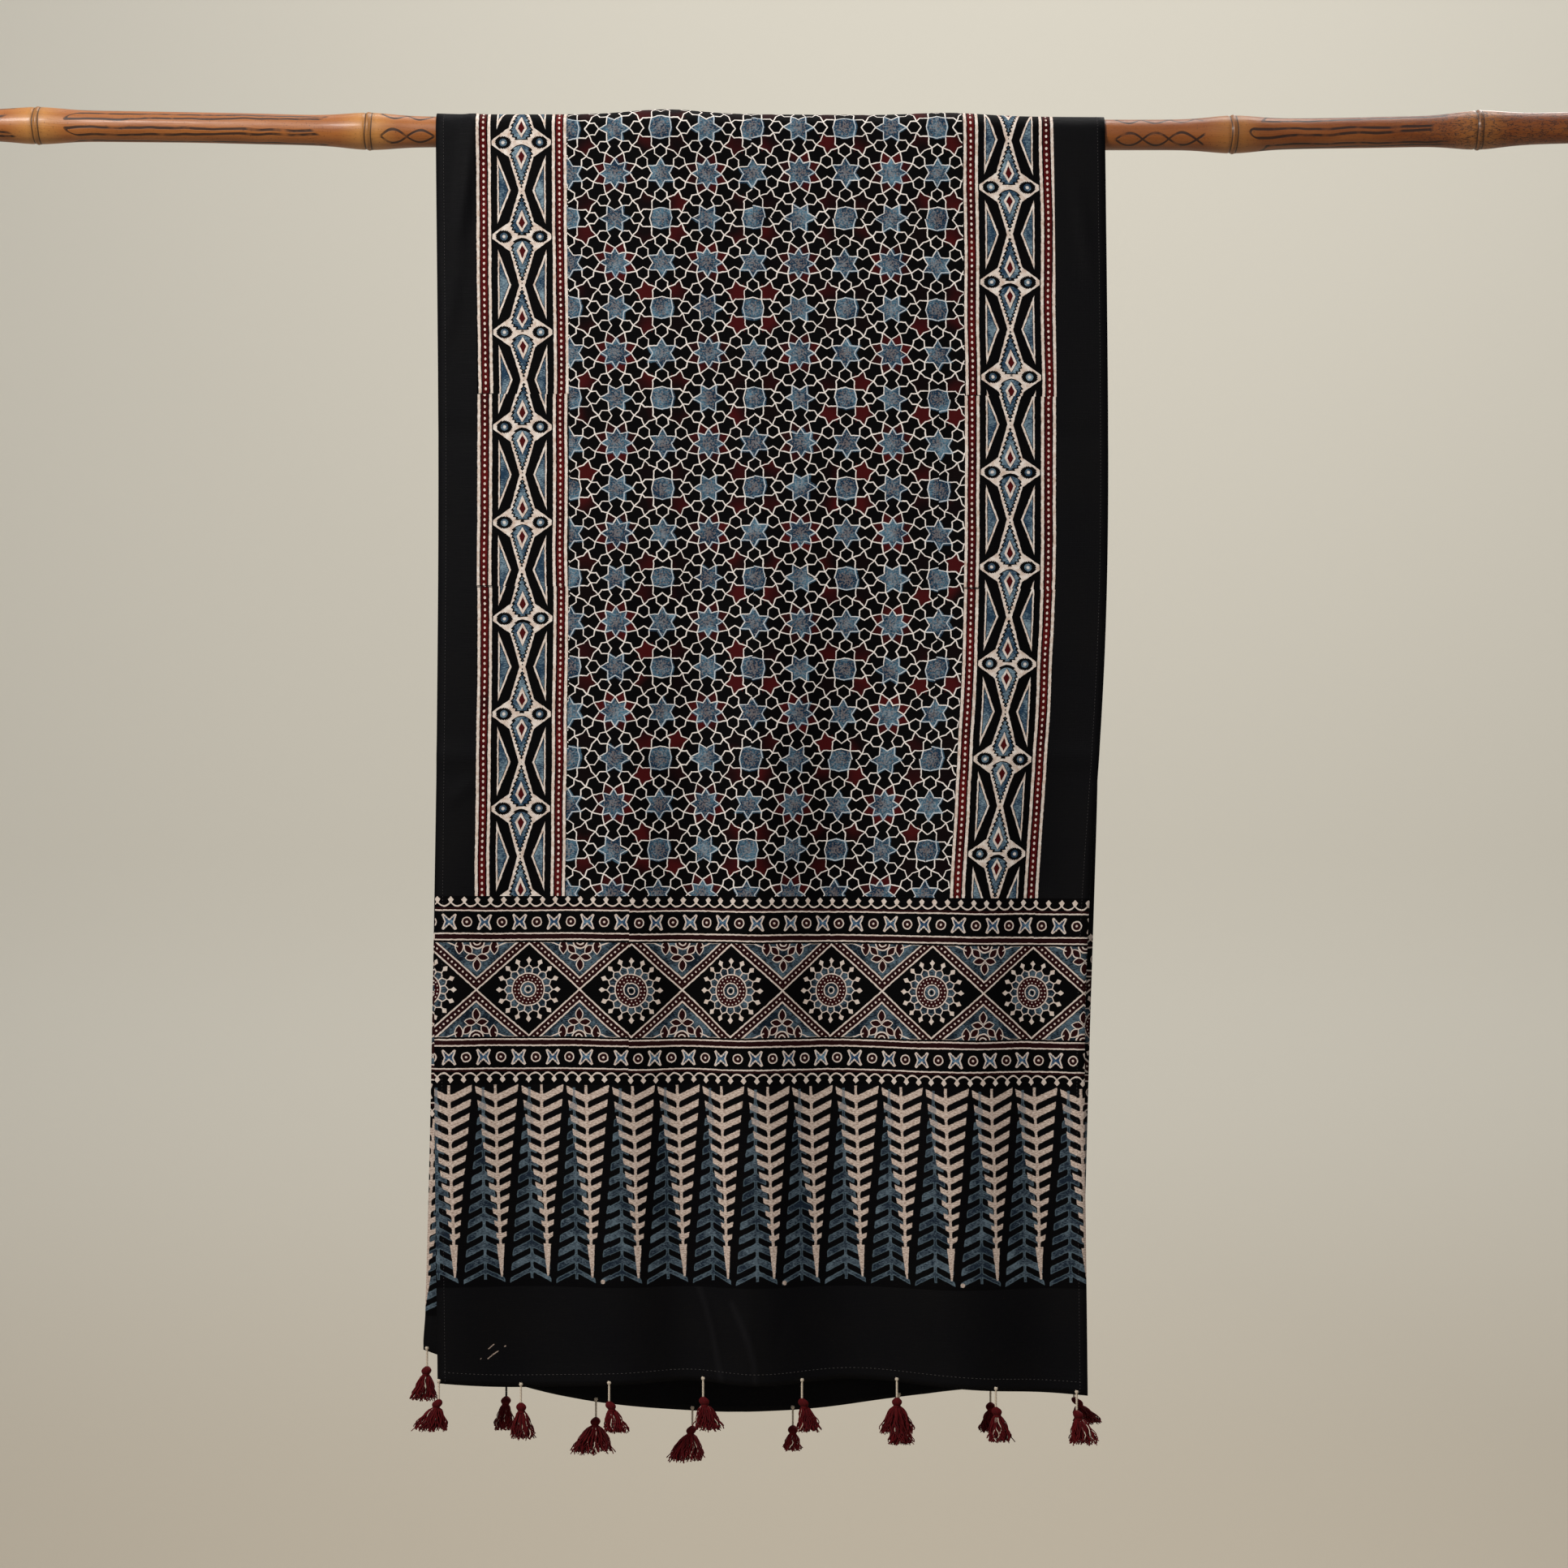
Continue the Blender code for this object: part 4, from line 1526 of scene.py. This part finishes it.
def build_cane():
    shape = bmesh.new()
    layer = shape.loops.layers.uv.new("Cane")
    half = POLE_LENGTH / 2.0
    rows = [(along, cane_radius(along)) for along in cane_stations()]
    inner = CANE_RADIUS - WALL
    rows = [(-half + HOLLOW_DEPTH, inner), (-half, inner)] + rows
    rows += [(half, inner), (half - HOLLOW_DEPTH, inner)]
    rings = []
    for along, radius in rows:
        height = pole_height(along)
        ring = []
        for k in range(POLE_SIDES):
            angle = 2.0 * math.pi * k / POLE_SIDES
            oval = radius * (1.0 + OVAL * math.cos(2.0 * angle + along * 9.0))
            rise = oval * math.cos(angle)
            ring.append(shape.verts.new((along, oval * math.sin(angle), height - rise)))
        rings.append(ring)
    for row, (near, far) in enumerate(zip(rings, rings[1:])):
        for k in range(POLE_SIDES):
            n = (k + 1) % POLE_SIDES
            face = shape.faces.new((near[k], near[n], far[n], far[k]))
            face.smooth = True
            for loop, side, end in zip(face.loops, (k, k + 1, k + 1, k), (0, 0, 1, 1)):
                around = 2.0 * math.pi * CANE_RADIUS * side / POLE_SIDES
                loop[layer].uv = (rows[row + end][0], around)
    shape.faces.new(rings[0][::-1])
    shape.faces.new(rings[-1])
    bmesh.ops.recalc_face_normals(shape, faces=shape.faces)
    mesh = finished_mesh("bamboo_cane", shape)
    mesh.set_sharp_from_angle(angle=math.radians(50.0))
    return mesh


cane_mesh = build_cane()
print("cane faces:", len(cane_mesh.polygons))

# %% Bamboo: honey skin, burnt scrolls, lacquer
SCROLL_STEP = 13.1            # from one long scroll to the next round the cane
SCROLL_HALF = 3.3
SCROLL_LINE = 2.0
KNOT_STEP = 19.6              # from one looped figure to the next round the cane
KNOT_WAVE = 44.0
KNOT_LINE = 1.7
LONG_SCROLLS = ((-572.0, 205.0), (398.0, 150.0), (-672.0, 50.0))      # start and length
KNOTTED = ((-318.0, 44.0), (282.0, 72.0))        # start and length of the looped figures
HONEY = dye(180, 126, 64)
AMBER = dye(152, 91, 41)
CHESTNUT = dye(112, 55, 13)
JOINT_SHADE_BROWN = dye(84, 44, 18)
BURNT = dye(26, 12, 6)
LACQUER = {"Specular_IOR_Level": 0.34, "Coat_Weight": 0.12, "Coat_Roughness": 0.16}


def burnt_scrolls(x, y, press):
    """Strokes of the hot iron: how dark each place is burnt."""
    burnt = []
    for number, (start, length) in enumerate(LONG_SCROLLS):
        offset = sum_node("SINE", y * (math.pi / SCROLL_STEP)) * 7.0
        run = x - start + offset
        aside = repeated(y + 5.0 * number + run * 0.012, SCROLL_STEP)
        half = SCROLL_HALF - run * (1.9 / length)
        loop = away(hypotenuse(least(run - SCROLL_HALF, 0.0), aside) - half)
        shown = ink(least(run + 1.0, length - run), 3.0)
        burnt.append(line(loop, SCROLL_LINE) * shown)
    for start, length in KNOTTED:
        run = x - start
        wave = sum_node("SINE", run * (2.0 * math.pi / KNOT_WAVE)) * 5.2
        aside = repeated(y - 6.0, KNOT_STEP)
        loop = least(away(aside - wave), away(aside + wave)) * 0.85
        burnt.append(line(loop, KNOT_LINE) * ink(least(run, length - run), 2.0))
    return most(*burnt) * press


def bamboo_material():
    skin = Layers("lacquered_bamboo", **LACQUER)
    place = bent_by_noise(cloth_place(skin.tree, "Cane"), 24.0, 1.3)
    x, y = numbers_of(place)
    fibre = streaks(place, 0.018, 1.7, 3.0)
    cloud = streaks(place, 0.020, 0.09, 3.0, 0.6)
    to_joint = least(*[away(x - 1000.0 * joint.along) for joint in JOINTS])
    redder = clamped(x, 1.0 / 900.0, 0.35)
    share = redder * 0.72 + cloud * 1.1 + fibre * 0.35 - 0.60
    skin.colour = mix_dyes(clamped(share), AMBER, CHESTNUT)
    near = clamped(to_joint, -1.0 / 26.0, 0.95)
    skin.lay(near * (1.0 - redder * 0.6), HONEY)
    # painted shade: a soft brown darkening close to each joint
    skin.lay(ink(3.5 - to_joint, 7.0) * 0.55, JOINT_SHADE_BROWN)
    skin.lay(clamped(fibre, 3.2, -1.55) * 0.35, CHESTNUT)
    press = clamped(clouds(place, 14.0), 3.0, -0.35)
    scroll = burnt_scrolls(x, y, press)
    # painted shade: a dark line in the groove beside each joint
    groove = line(away(to_joint - 2.4), 1.0) * 0.9
    scorch = streaks(place, 0.10, 0.34, 4.0, 0.62)
    right_end = clamped(x, 1.0 / 60.0, -8.3)
    scar = line(away(scorch - 0.5) * 9.0, 0.45) * (right_end * 0.85 + 0.05)
    # dark gathers the burnt scrolls and scars, which are the cane's own, and the painted shade of
    # the grooves
    dark = clamped(most(scroll, groove, scar), 0.9)
    skin.lay(dark, BURNT)
    speck = clouds(place, 1.3, 1.0)
    skin.lay(ink(speck - 0.74, 0.05) * 0.6, BURNT)
    roughness = cloud * 0.16 + fibre * 0.12 + dark * 0.12 + 0.28
    height = fibre * 0.5 + cloud * 0.6 - dark * 0.45
    return skin.finish(roughness, height, 0.5, 0.0006)


cane = add_piece("bamboo_cane", cane_mesh, bamboo_material())
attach(cane, "root")
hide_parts("pole")
print("cane thickest at a joint: %.1f mm" % (2000 * max(cane_radius(j.along) for j in JOINTS)))

# %% [markdown]
# ## A tree of nodes for yarn
#
# Cord, knot, tassel head, binding and skirt are all yarn that runs from one place to another
# side by side: twisted for the cord, wound for the knot, bulging for the head and flaring for
# the skirt. One Geometry Nodes tree makes them all. It sets points for the strands, puts a line
# on each, realizes them, and then bends every point by sums of its share along the strand and
# the strand's own random numbers. Last it gives each line its thickness.

# %% Helpers for the node trees


def new_tree(name, inputs):
    """A Geometry Nodes tree with named inputs, the identifier of each, and its socket inside."""
    tree = bpy.data.node_groups.new(name, "GeometryNodeTree")
    tree.interface.new_socket("Geometry", in_out="INPUT", socket_type="NodeSocketGeometry")
    known = {}
    for label, kind in inputs:
        socket = tree.interface.new_socket(label, in_out="INPUT", socket_type="NodeSocket" + kind)
        known[label] = socket.identifier
    tree.interface.new_socket("Geometry", in_out="OUTPUT", socket_type="NodeSocketGeometry")
    given = {socket.name: socket for socket in tree.nodes.new("NodeGroupInput").outputs}
    return tree, known, given


def close_tree(tree, geometry, material):
    """Every tree ends in Realize Instances and Set Material."""
    solid = add_node(tree, "GeometryNodeRealizeInstances", Geometry=geometry)
    smooth = add_node(tree, "GeometryNodeSetShadeSmooth", Geometry=solid.outputs[0])
    finish = add_node(
        tree, "GeometryNodeSetMaterial", Geometry=smooth.outputs[0], Material=material
    )
    output = tree.nodes.new("NodeGroupOutput")
    tree.links.new(finish.outputs[0], output.inputs[0])


def grown(mesh, tree, identifiers, values):
    """Runs a tree on a mesh and hands back the result as a plain mesh."""
    base = bpy.data.objects.new("base", mesh)
    bpy.context.scene.collection.objects.link(base)
    modifier = base.modifiers.new("grow", "NODES")
    modifier.node_group = tree
    for label, value in values.items():
        modifier[identifiers[label]] = value
    evaluated = base.evaluated_get(bpy.context.evaluated_depsgraph_get())
    result = bpy.data.meshes.new_from_object(evaluated)
    bpy.data.objects.remove(base, do_unlink=True)
    return result


print("helpers for node trees ready")

# %% The yarn tree
YARN_INPUTS = (
    ("Strands", "Int"), ("Points", "Int"), ("Length", "Float"), ("Top", "Float"),
    ("End", "Float"), ("Bulge", "Float"), ("Turns", "Float"), ("Scatter", "Float"),
    ("Ragged", "Float"), ("Wave", "Float"), ("Flat", "Float"), ("Thickness", "Float"),
    ("Sides", "Int"), ("Seed", "Int"), ("Material", "Material"),
)


def build_yarn_tree():
    tree, known, given = new_tree("yarn_bundle", YARN_INPUTS)

    def number(label):
        return Number(given[label])

    line_curve = add_node(tree, "GeometryNodeCurvePrimitiveLine")
    even = add_node(
        tree, "GeometryNodeResampleCurve", Curve=line_curve.outputs[0], Count=given["Points"]
    )
    spline = add_node(tree, "GeometryNodeSplineParameter")
    strand_line = add_node(
        tree, "GeometryNodeStoreNamedAttribute", {"data_type": "FLOAT", "domain": "POINT"},
        Geometry=even.outputs[0], Name="share", Value=spline.outputs["Factor"],
    )
    seeds = add_node(tree, "GeometryNodePoints", Count=given["Strands"])
    copies = add_node(
        tree, "GeometryNodeInstanceOnPoints",
        Points=seeds.outputs[0], Instance=strand_line.outputs[0],
    )
    index = add_node(tree, "GeometryNodeInputIndex")
    numbered = add_node(
        tree, "GeometryNodeStoreNamedAttribute", {"data_type": "FLOAT", "domain": "INSTANCE"},
        Geometry=copies.outputs[0], Name="strand", Value=index.outputs[0],
    )
    real = add_node(tree, "GeometryNodeRealizeInstances", Geometry=numbered.outputs[0])

    def read(name):
        node = add_node(tree, "GeometryNodeInputNamedAttribute", {"data_type": "FLOAT"}, Name=name)
        return Number(node.outputs[0])

    share, strand = read("share"), read("strand")

    def chance(extra):
        node = add_node(tree, "FunctionNodeRandomValue", {"data_type": "FLOAT"},
                        ID=strand, Seed=number("Seed") + extra)
        value = next(s for s in node.outputs if s.enabled)
        return Number(value)

    whole = 2.0 * math.pi
    even_turn = strand / number("Strands")
    turn = even_turn + (chance(1) - even_turn) * number("Scatter") + share * number("Turns")
    spread = sum_node("POWER", share, 0.62)
    bulge = sum_node("SINE", share * math.pi) * number("Bulge")
    radius = number("Top") + (number("End") - number("Top")) * spread + bulge
    rank = 1.0 - number("Scatter") * (1.0 - sum_node("SQRT", chance(2)))
    away_from_axis = radius * rank

    def sway(turns, extra):
        wave = sum_node("SINE", (share * turns + chance(extra)) * whole)
        return wave * share * number("Wave")

    reach = number("Length") * (1.0 - number("Ragged") * chance(5))
    cosine = sum_node("COSINE", turn * whole)
    sine = sum_node("SINE", turn * whole)
    place = add_node(
        tree, "ShaderNodeCombineXYZ",
        X=away_from_axis * cosine + sway(1.4, 3),
        Y=(away_from_axis * sine + sway(1.1, 4)) * number("Flat"),
        Z=share * reach * -1.0,
    )
    bent = add_node(
        tree, "GeometryNodeSetPosition", Geometry=real.outputs[0], Position=place.outputs[0]
    )
    ring = add_node(
        tree, "GeometryNodeCurvePrimitiveCircle",
        Resolution=given["Sides"], Radius=given["Thickness"],
    )
    tube = add_node(
        tree, "GeometryNodeCurveToMesh",
        Curve=bent.outputs[0], Profile_Curve=ring.outputs[0], Fill_Caps=True,
    )
    close_tree(tree, tube.outputs[0], given["Material"])
    return tree, known


yarn_tree, YARN_KEYS = build_yarn_tree()
print("nodes in the yarn tree:", len(yarn_tree.nodes))

# %% Yarn finishes
PLY_SCALE = 1500.0
YARN_DRYNESS = 0.75 - 0.12    # the least roughness


def yarn_material(name, dark, light):
    """Soft matt yarn: each strand a little lighter or darker, with fuzz."""
    yarn = Layers(name, Specular_IOR_Level=0.10, Sheen_Weight=0.02, Sheen_Roughness=0.5)
    own = add_node(yarn.tree, "ShaderNodeAttribute", {"attribute_name": "strand"})
    chance = add_node(yarn.tree, "ShaderNodeTexWhiteNoise", {"noise_dimensions": "1D"},
                      W=own.outputs["Fac"])
    coordinates = add_node(yarn.tree, "ShaderNodeTexCoord")
    plies = add_node(yarn.tree, "ShaderNodeTexNoise",
                     Vector=coordinates.outputs["Object"], Scale=PLY_SCALE, Detail=2.0)
    ply = Number(plies.outputs["Fac"])
    shade = Number(chance.outputs["Value"]) * 0.55 + ply * 0.6
    yarn.colour = mix_dyes(clamped(shade, 0.9), dark, light)
    return yarn.finish(ply * 0.25 + YARN_DRYNESS, ply, 0.6, 0.0002)


madder_yarn = yarn_material("madder_yarn", dye(36, 3, 5), dye(102, 14, 18))
cream_yarn = yarn_material("cream_yarn", dye(168, 150, 128), dye(226, 214, 194))
dark_yarn = yarn_material("dark_yarn", dye(20, 18, 18), dye(44, 38, 38))
print("three yarns")

# %% [markdown]
# ## The tassels
#
# Eight tassels hang from each hem. Each has a cream cord that is knotted through the cloth, a
# head of red yarn folded over the cord, a binding of a few turns round its neck, and a skirt
# that flares and ends raggedly, with a few cream strands left among the red. The parts are
# grown one after another down a line and joined, so that every tassel is one piece. The table
# repeats where each hangs, how its skirt leans, and how long and wide it is.

# %% Sizes and places of the tassels
CORD_DROP = 0.0135
HEAD_RADIUS = 0.0038
HEAD_DROP = 0.0060
TASSEL_FLATNESS = 0.66
YARN_RADIUS = 0.00042
RED_STRANDS = 110             # the strands of a skirt, and how many more for a metre of spread
RED_BY_SPREAD = 2500
CREAM_STRANDS = 8
SWAY = 0.8                    # how evenly a tassel leans from its cord to its end
Tassel = namedtuple("Tassel", "across lean length spread")
FRONT_TASSELS = (
    Tassel(-0.2720, -0.0070, 0.0385, 0.029), Tassel(-0.2050, 0.0015, 0.0425, 0.020),
    Tassel(-0.1310, 0.0065, 0.0385, 0.020), Tassel(-0.0530, 0.0045, 0.0405, 0.024),
    Tassel(0.0320, 0.0065, 0.0405, 0.019), Tassel(0.1120, 0.0000, 0.0425, 0.028),
    Tassel(0.1950, 0.0045, 0.0415, 0.020), Tassel(0.2640, 0.0065, 0.0410, 0.024),
)
BACK_TASSELS = (
    Tassel(-0.2700, -0.0030, 0.0410, 0.021), Tassel(-0.2040, -0.0020, 0.0405, 0.016),
    Tassel(-0.1300, -0.0030, 0.0430, 0.036), Tassel(-0.0500, -0.0060, 0.0425, 0.030),
    Tassel(0.0340, 0.0000, 0.0335, 0.015), Tassel(0.1220, 0.0020, 0.0395, 0.021),
    Tassel(0.1990, 0.0010, 0.0380, 0.020), Tassel(0.2680, 0.0130, 0.0345, 0.023),
)
EMPTY = bpy.data.meshes.new("empty")
EMPTY.from_pydata([(0.0, 0.0, 0.0)], [], [])
YARN_DEFAULTS = {
    "Strands": 1, "Points": 8, "Length": 0.01, "Top": 0.001, "End": 0.001, "Bulge": 0.0,
    "Turns": 0.0, "Scatter": 0.0, "Ragged": 0.0, "Wave": 0.0, "Flat": 1.0,
    "Thickness": YARN_RADIUS, "Sides": 4, "Seed": SEED,
}


def yarn(material, **values):
    sizes = dict(YARN_DEFAULTS, Material=material)
    sizes.update(values)
    return grown(EMPTY, yarn_tree, YARN_KEYS, sizes)


def tassel_parts(tassel, cord, seed):
    """The parts of one tassel: how far below the hem each starts, its yarn and its mesh."""
    neck = CORD_DROP + HEAD_DROP
    skirt = tassel.length - neck
    half = tassel.spread / 2.0
    wide = {"Points": 9, "Scatter": 1.0, "Wave": 0.0017, "Flat": TASSEL_FLATNESS}
    plies = {"Points": 26, "Turns": 7.0, "Thickness": 0.00060, "Sides": 6}
    red = round(RED_STRANDS + RED_BY_SPREAD * tassel.spread)
    return (
        (-0.0030, yarn(cord, Strands=2, Length=CORD_DROP + 0.0040, Top=0.00045, End=0.00045,
                       **plies)),
        (-0.0038, yarn(cord, Points=40, Length=0.0030, Turns=3.5, Top=0.0004, End=0.0004,
                       Bulge=0.0009, Thickness=0.0005, Sides=6)),
        (CORD_DROP - 0.0006, yarn(madder_yarn, Strands=34, Length=HEAD_DROP + 0.0004, Top=0.0007,
                                  End=0.0022, Bulge=HEAD_RADIUS - 0.0017, Turns=0.06,
                                  Thickness=0.00040, Points=9)),
        (CORD_DROP + 0.0006, yarn(madder_yarn, Length=HEAD_DROP - 0.0006, Top=0.0, End=0.0,
                                  Thickness=0.0022, Sides=10)),
        (neck - 0.0008, yarn(madder_yarn, Points=60, Length=0.0018, Turns=4.0, Top=0.0027,
                             End=0.0027, Thickness=0.00038)),
        (neck, yarn(madder_yarn, Strands=red, Length=skirt, Top=0.0023, End=half, Ragged=0.22,
                    Seed=seed, **wide)),
        (neck, yarn(cream_yarn, Strands=CREAM_STRANDS, Length=skirt, Top=0.0023, End=half * 0.9,
                    Ragged=0.3, Seed=seed + 7, **wide)),
    )


def build_tassel(name, hem, tassel, cord, seed):
    parts = tassel_parts(tassel, cord, seed)
    materials = []
    shape = bmesh.new()
    for start, mesh in parts:
        material = mesh.materials[0]
        if material not in materials:
            materials.append(material)
        before = len(shape.verts)
        faces_before = len(shape.faces)
        shape.from_mesh(mesh)
        shape.verts.ensure_lookup_table()
        shape.faces.ensure_lookup_table()
        for vert in shape.verts[before:]:
            drop = start - vert.co.z
            share = max(0.0, drop - CORD_DROP) / (tassel.length - CORD_DROP)
            sway = tassel.lean * share ** SWAY
            vert.co.x += hem[0] + sway
            vert.co.y += hem[1]
            vert.co.z = hem[2] - drop
        for face in shape.faces[faces_before:]:
            face.material_index = materials.index(material)
    return add_piece(name, finished_mesh(name, shape), *materials)


print("tassels to make:", len(FRONT_TASSELS) + len(BACK_TASSELS))

# %% Hang the tassels


def hem_place(row, across):
    """A point of the hem, between the two columns that it lies between."""
    for k in range(len(COLUMNS) - 1):
        if COLUMNS[k] <= across <= COLUMNS[k + 1]:
            share = (across - COLUMNS[k]) / (COLUMNS[k + 1] - COLUMNS[k])
            return Vector(row[k]).lerp(Vector(row[k + 1]), share)
    return Vector(row[-1])


FRONT_EDGE_ROW = cloth_row(0.0)[0]
BACK_EDGE_ROW = cloth_row(CLOTH_LENGTH)[0]
tassel_pieces = []
for side_name, row, table in (
    ("front", FRONT_EDGE_ROW, FRONT_TASSELS), ("back", BACK_EDGE_ROW, BACK_TASSELS)
):
    for number, tassel in enumerate(table, start=1):
        name = "tassel_%s_%d" % (side_name, number)
        cord = dark_yarn if name == "tassel_back_2" else cream_yarn
        seed = SEED + 20 * len(tassel_pieces)
        piece = build_tassel("yarn_" + name, hem_place(row, tassel.across), tassel, cord, seed)
        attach(piece, "root")
        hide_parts(name)
        tassel_pieces.append(piece)
print("faces in one tassel:", len(tassel_pieces[0].data.polygons))

# %% [markdown]
# ## Hem and seam stitches
#
# Both hems are turned under and sewn with a running stitch, and a line of smaller stitches
# holds each selvedge. A second tree walks along a path on the cloth at an even pitch, and sets
# a small lengthened bead at each step, turned along the path.

# %% The stitch tree
STITCH_INPUTS = (
    ("Pitch", "Float"), ("Share", "Float"), ("Radius", "Float"), ("Uneven", "Float"),
    ("Seed", "Int"), ("Material", "Material"),
)


def build_stitch_tree():
    tree, known, given = new_tree("running_stitch", STITCH_INPUTS)
    path = add_node(tree, "GeometryNodeMeshToCurve", Mesh=given["Geometry"])
    stations = add_node(
        tree, "GeometryNodeResampleCurve", {"mode": "LENGTH"},
        Curve=path.outputs[0], Length=given["Pitch"],
    )
    bead = add_node(tree, "GeometryNodeMeshUVSphere", Segments=6, Rings=4, Radius=1.0)
    tangent = add_node(tree, "GeometryNodeInputTangent")
    aim = add_node(
        tree, "FunctionNodeAlignRotationToVector", {"axis": "Z"}, Vector=tangent.outputs[0]
    )
    chance = add_node(tree, "FunctionNodeRandomValue", {"data_type": "FLOAT"}, Seed=given["Seed"])
    random_share = Number(next(s for s in chance.outputs if s.enabled))
    pitch, radius = Number(given["Pitch"]), Number(given["Radius"])
    unevenness = 1.0 - random_share * Number(given["Uneven"])
    half_length = pitch * Number(given["Share"]) * 0.5 * unevenness
    size = add_node(tree, "ShaderNodeCombineXYZ", X=radius, Y=radius, Z=half_length)
    stitches = add_node(
        tree, "GeometryNodeInstanceOnPoints", Points=stations.outputs[0],
        Instance=bead.outputs["Mesh"], Rotation=aim.outputs[0], Scale=size.outputs[0],
    )
    close_tree(tree, stitches.outputs[0], given["Material"])
    return tree, known


stitch_tree, STITCH_KEYS = build_stitch_tree()
print("nodes in the stitch tree:", len(stitch_tree.nodes))

# %% Sew the hems and the selvedges
STITCH_LIFT = CLOTH_THICKNESS / 2.0 + 0.00008
HEM_STITCH = (0.0034, 0.00020)        # from one stitch to the next, and the thread's radius
SEAM_STITCH = (0.0026, 0.00014)
STITCH_SHARE = 0.62                   # how much of each step the thread covers
STITCH_UNEVEN = 0.35


def path_on_cloth(indices):
    """A line of edges through the cloth's own points, lifted off its outer side."""
    points = []
    for index in indices:
        vertex = cloth_mesh.vertices[index]
        points.append(vertex.co + vertex.normal * STITCH_LIFT)
    mesh = bpy.data.meshes.new("stitch_path")
    mesh.from_pydata(points, [(k, k + 1) for k in range(len(points) - 1)], [])
    return mesh


def row_at(length):
    return min(range(len(LENGTHS)), key=lambda i: abs(LENGTHS[i] - length))


def column_at(across):
    return min(range(len(COLUMNS)), key=lambda k: abs(COLUMNS[k] - across))


def sew_cloth():
    # The thread is black; the lighter greys of its colour are painted sheen.
    thread = yarn_material("dark_thread_painted_sheen", dye(40, 38, 38), dye(92, 88, 86))
    wide = len(COLUMNS)
    shape = bmesh.new()
    paths = []
    for length in (HEM_DEPTH, CLOTH_LENGTH - HEM_DEPTH):
        start = row_at(length) * wide
        paths.append((range(start + 1, start + wide - 1), *HEM_STITCH))
    for across in (SEAM_INSET - HALF_WIDTH, HALF_WIDTH - SEAM_INSET):
        first = column_at(across)
        paths.append((range(first, first + wide * len(LENGTHS), wide), *SEAM_STITCH))
    for number, (indices, pitch, radius) in enumerate(paths):
        values = {
            "Pitch": pitch, "Share": STITCH_SHARE, "Radius": radius, "Uneven": STITCH_UNEVEN,
            "Seed": SEED + number, "Material": thread,
        }
        shape.from_mesh(grown(path_on_cloth(indices), stitch_tree, STITCH_KEYS, values))
    return add_piece("stitches", finished_mesh("stitches", shape), thread)


stitches = sew_cloth()
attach(stitches, "root")
print("faces in all the stitches:", len(stitches.data.polygons))
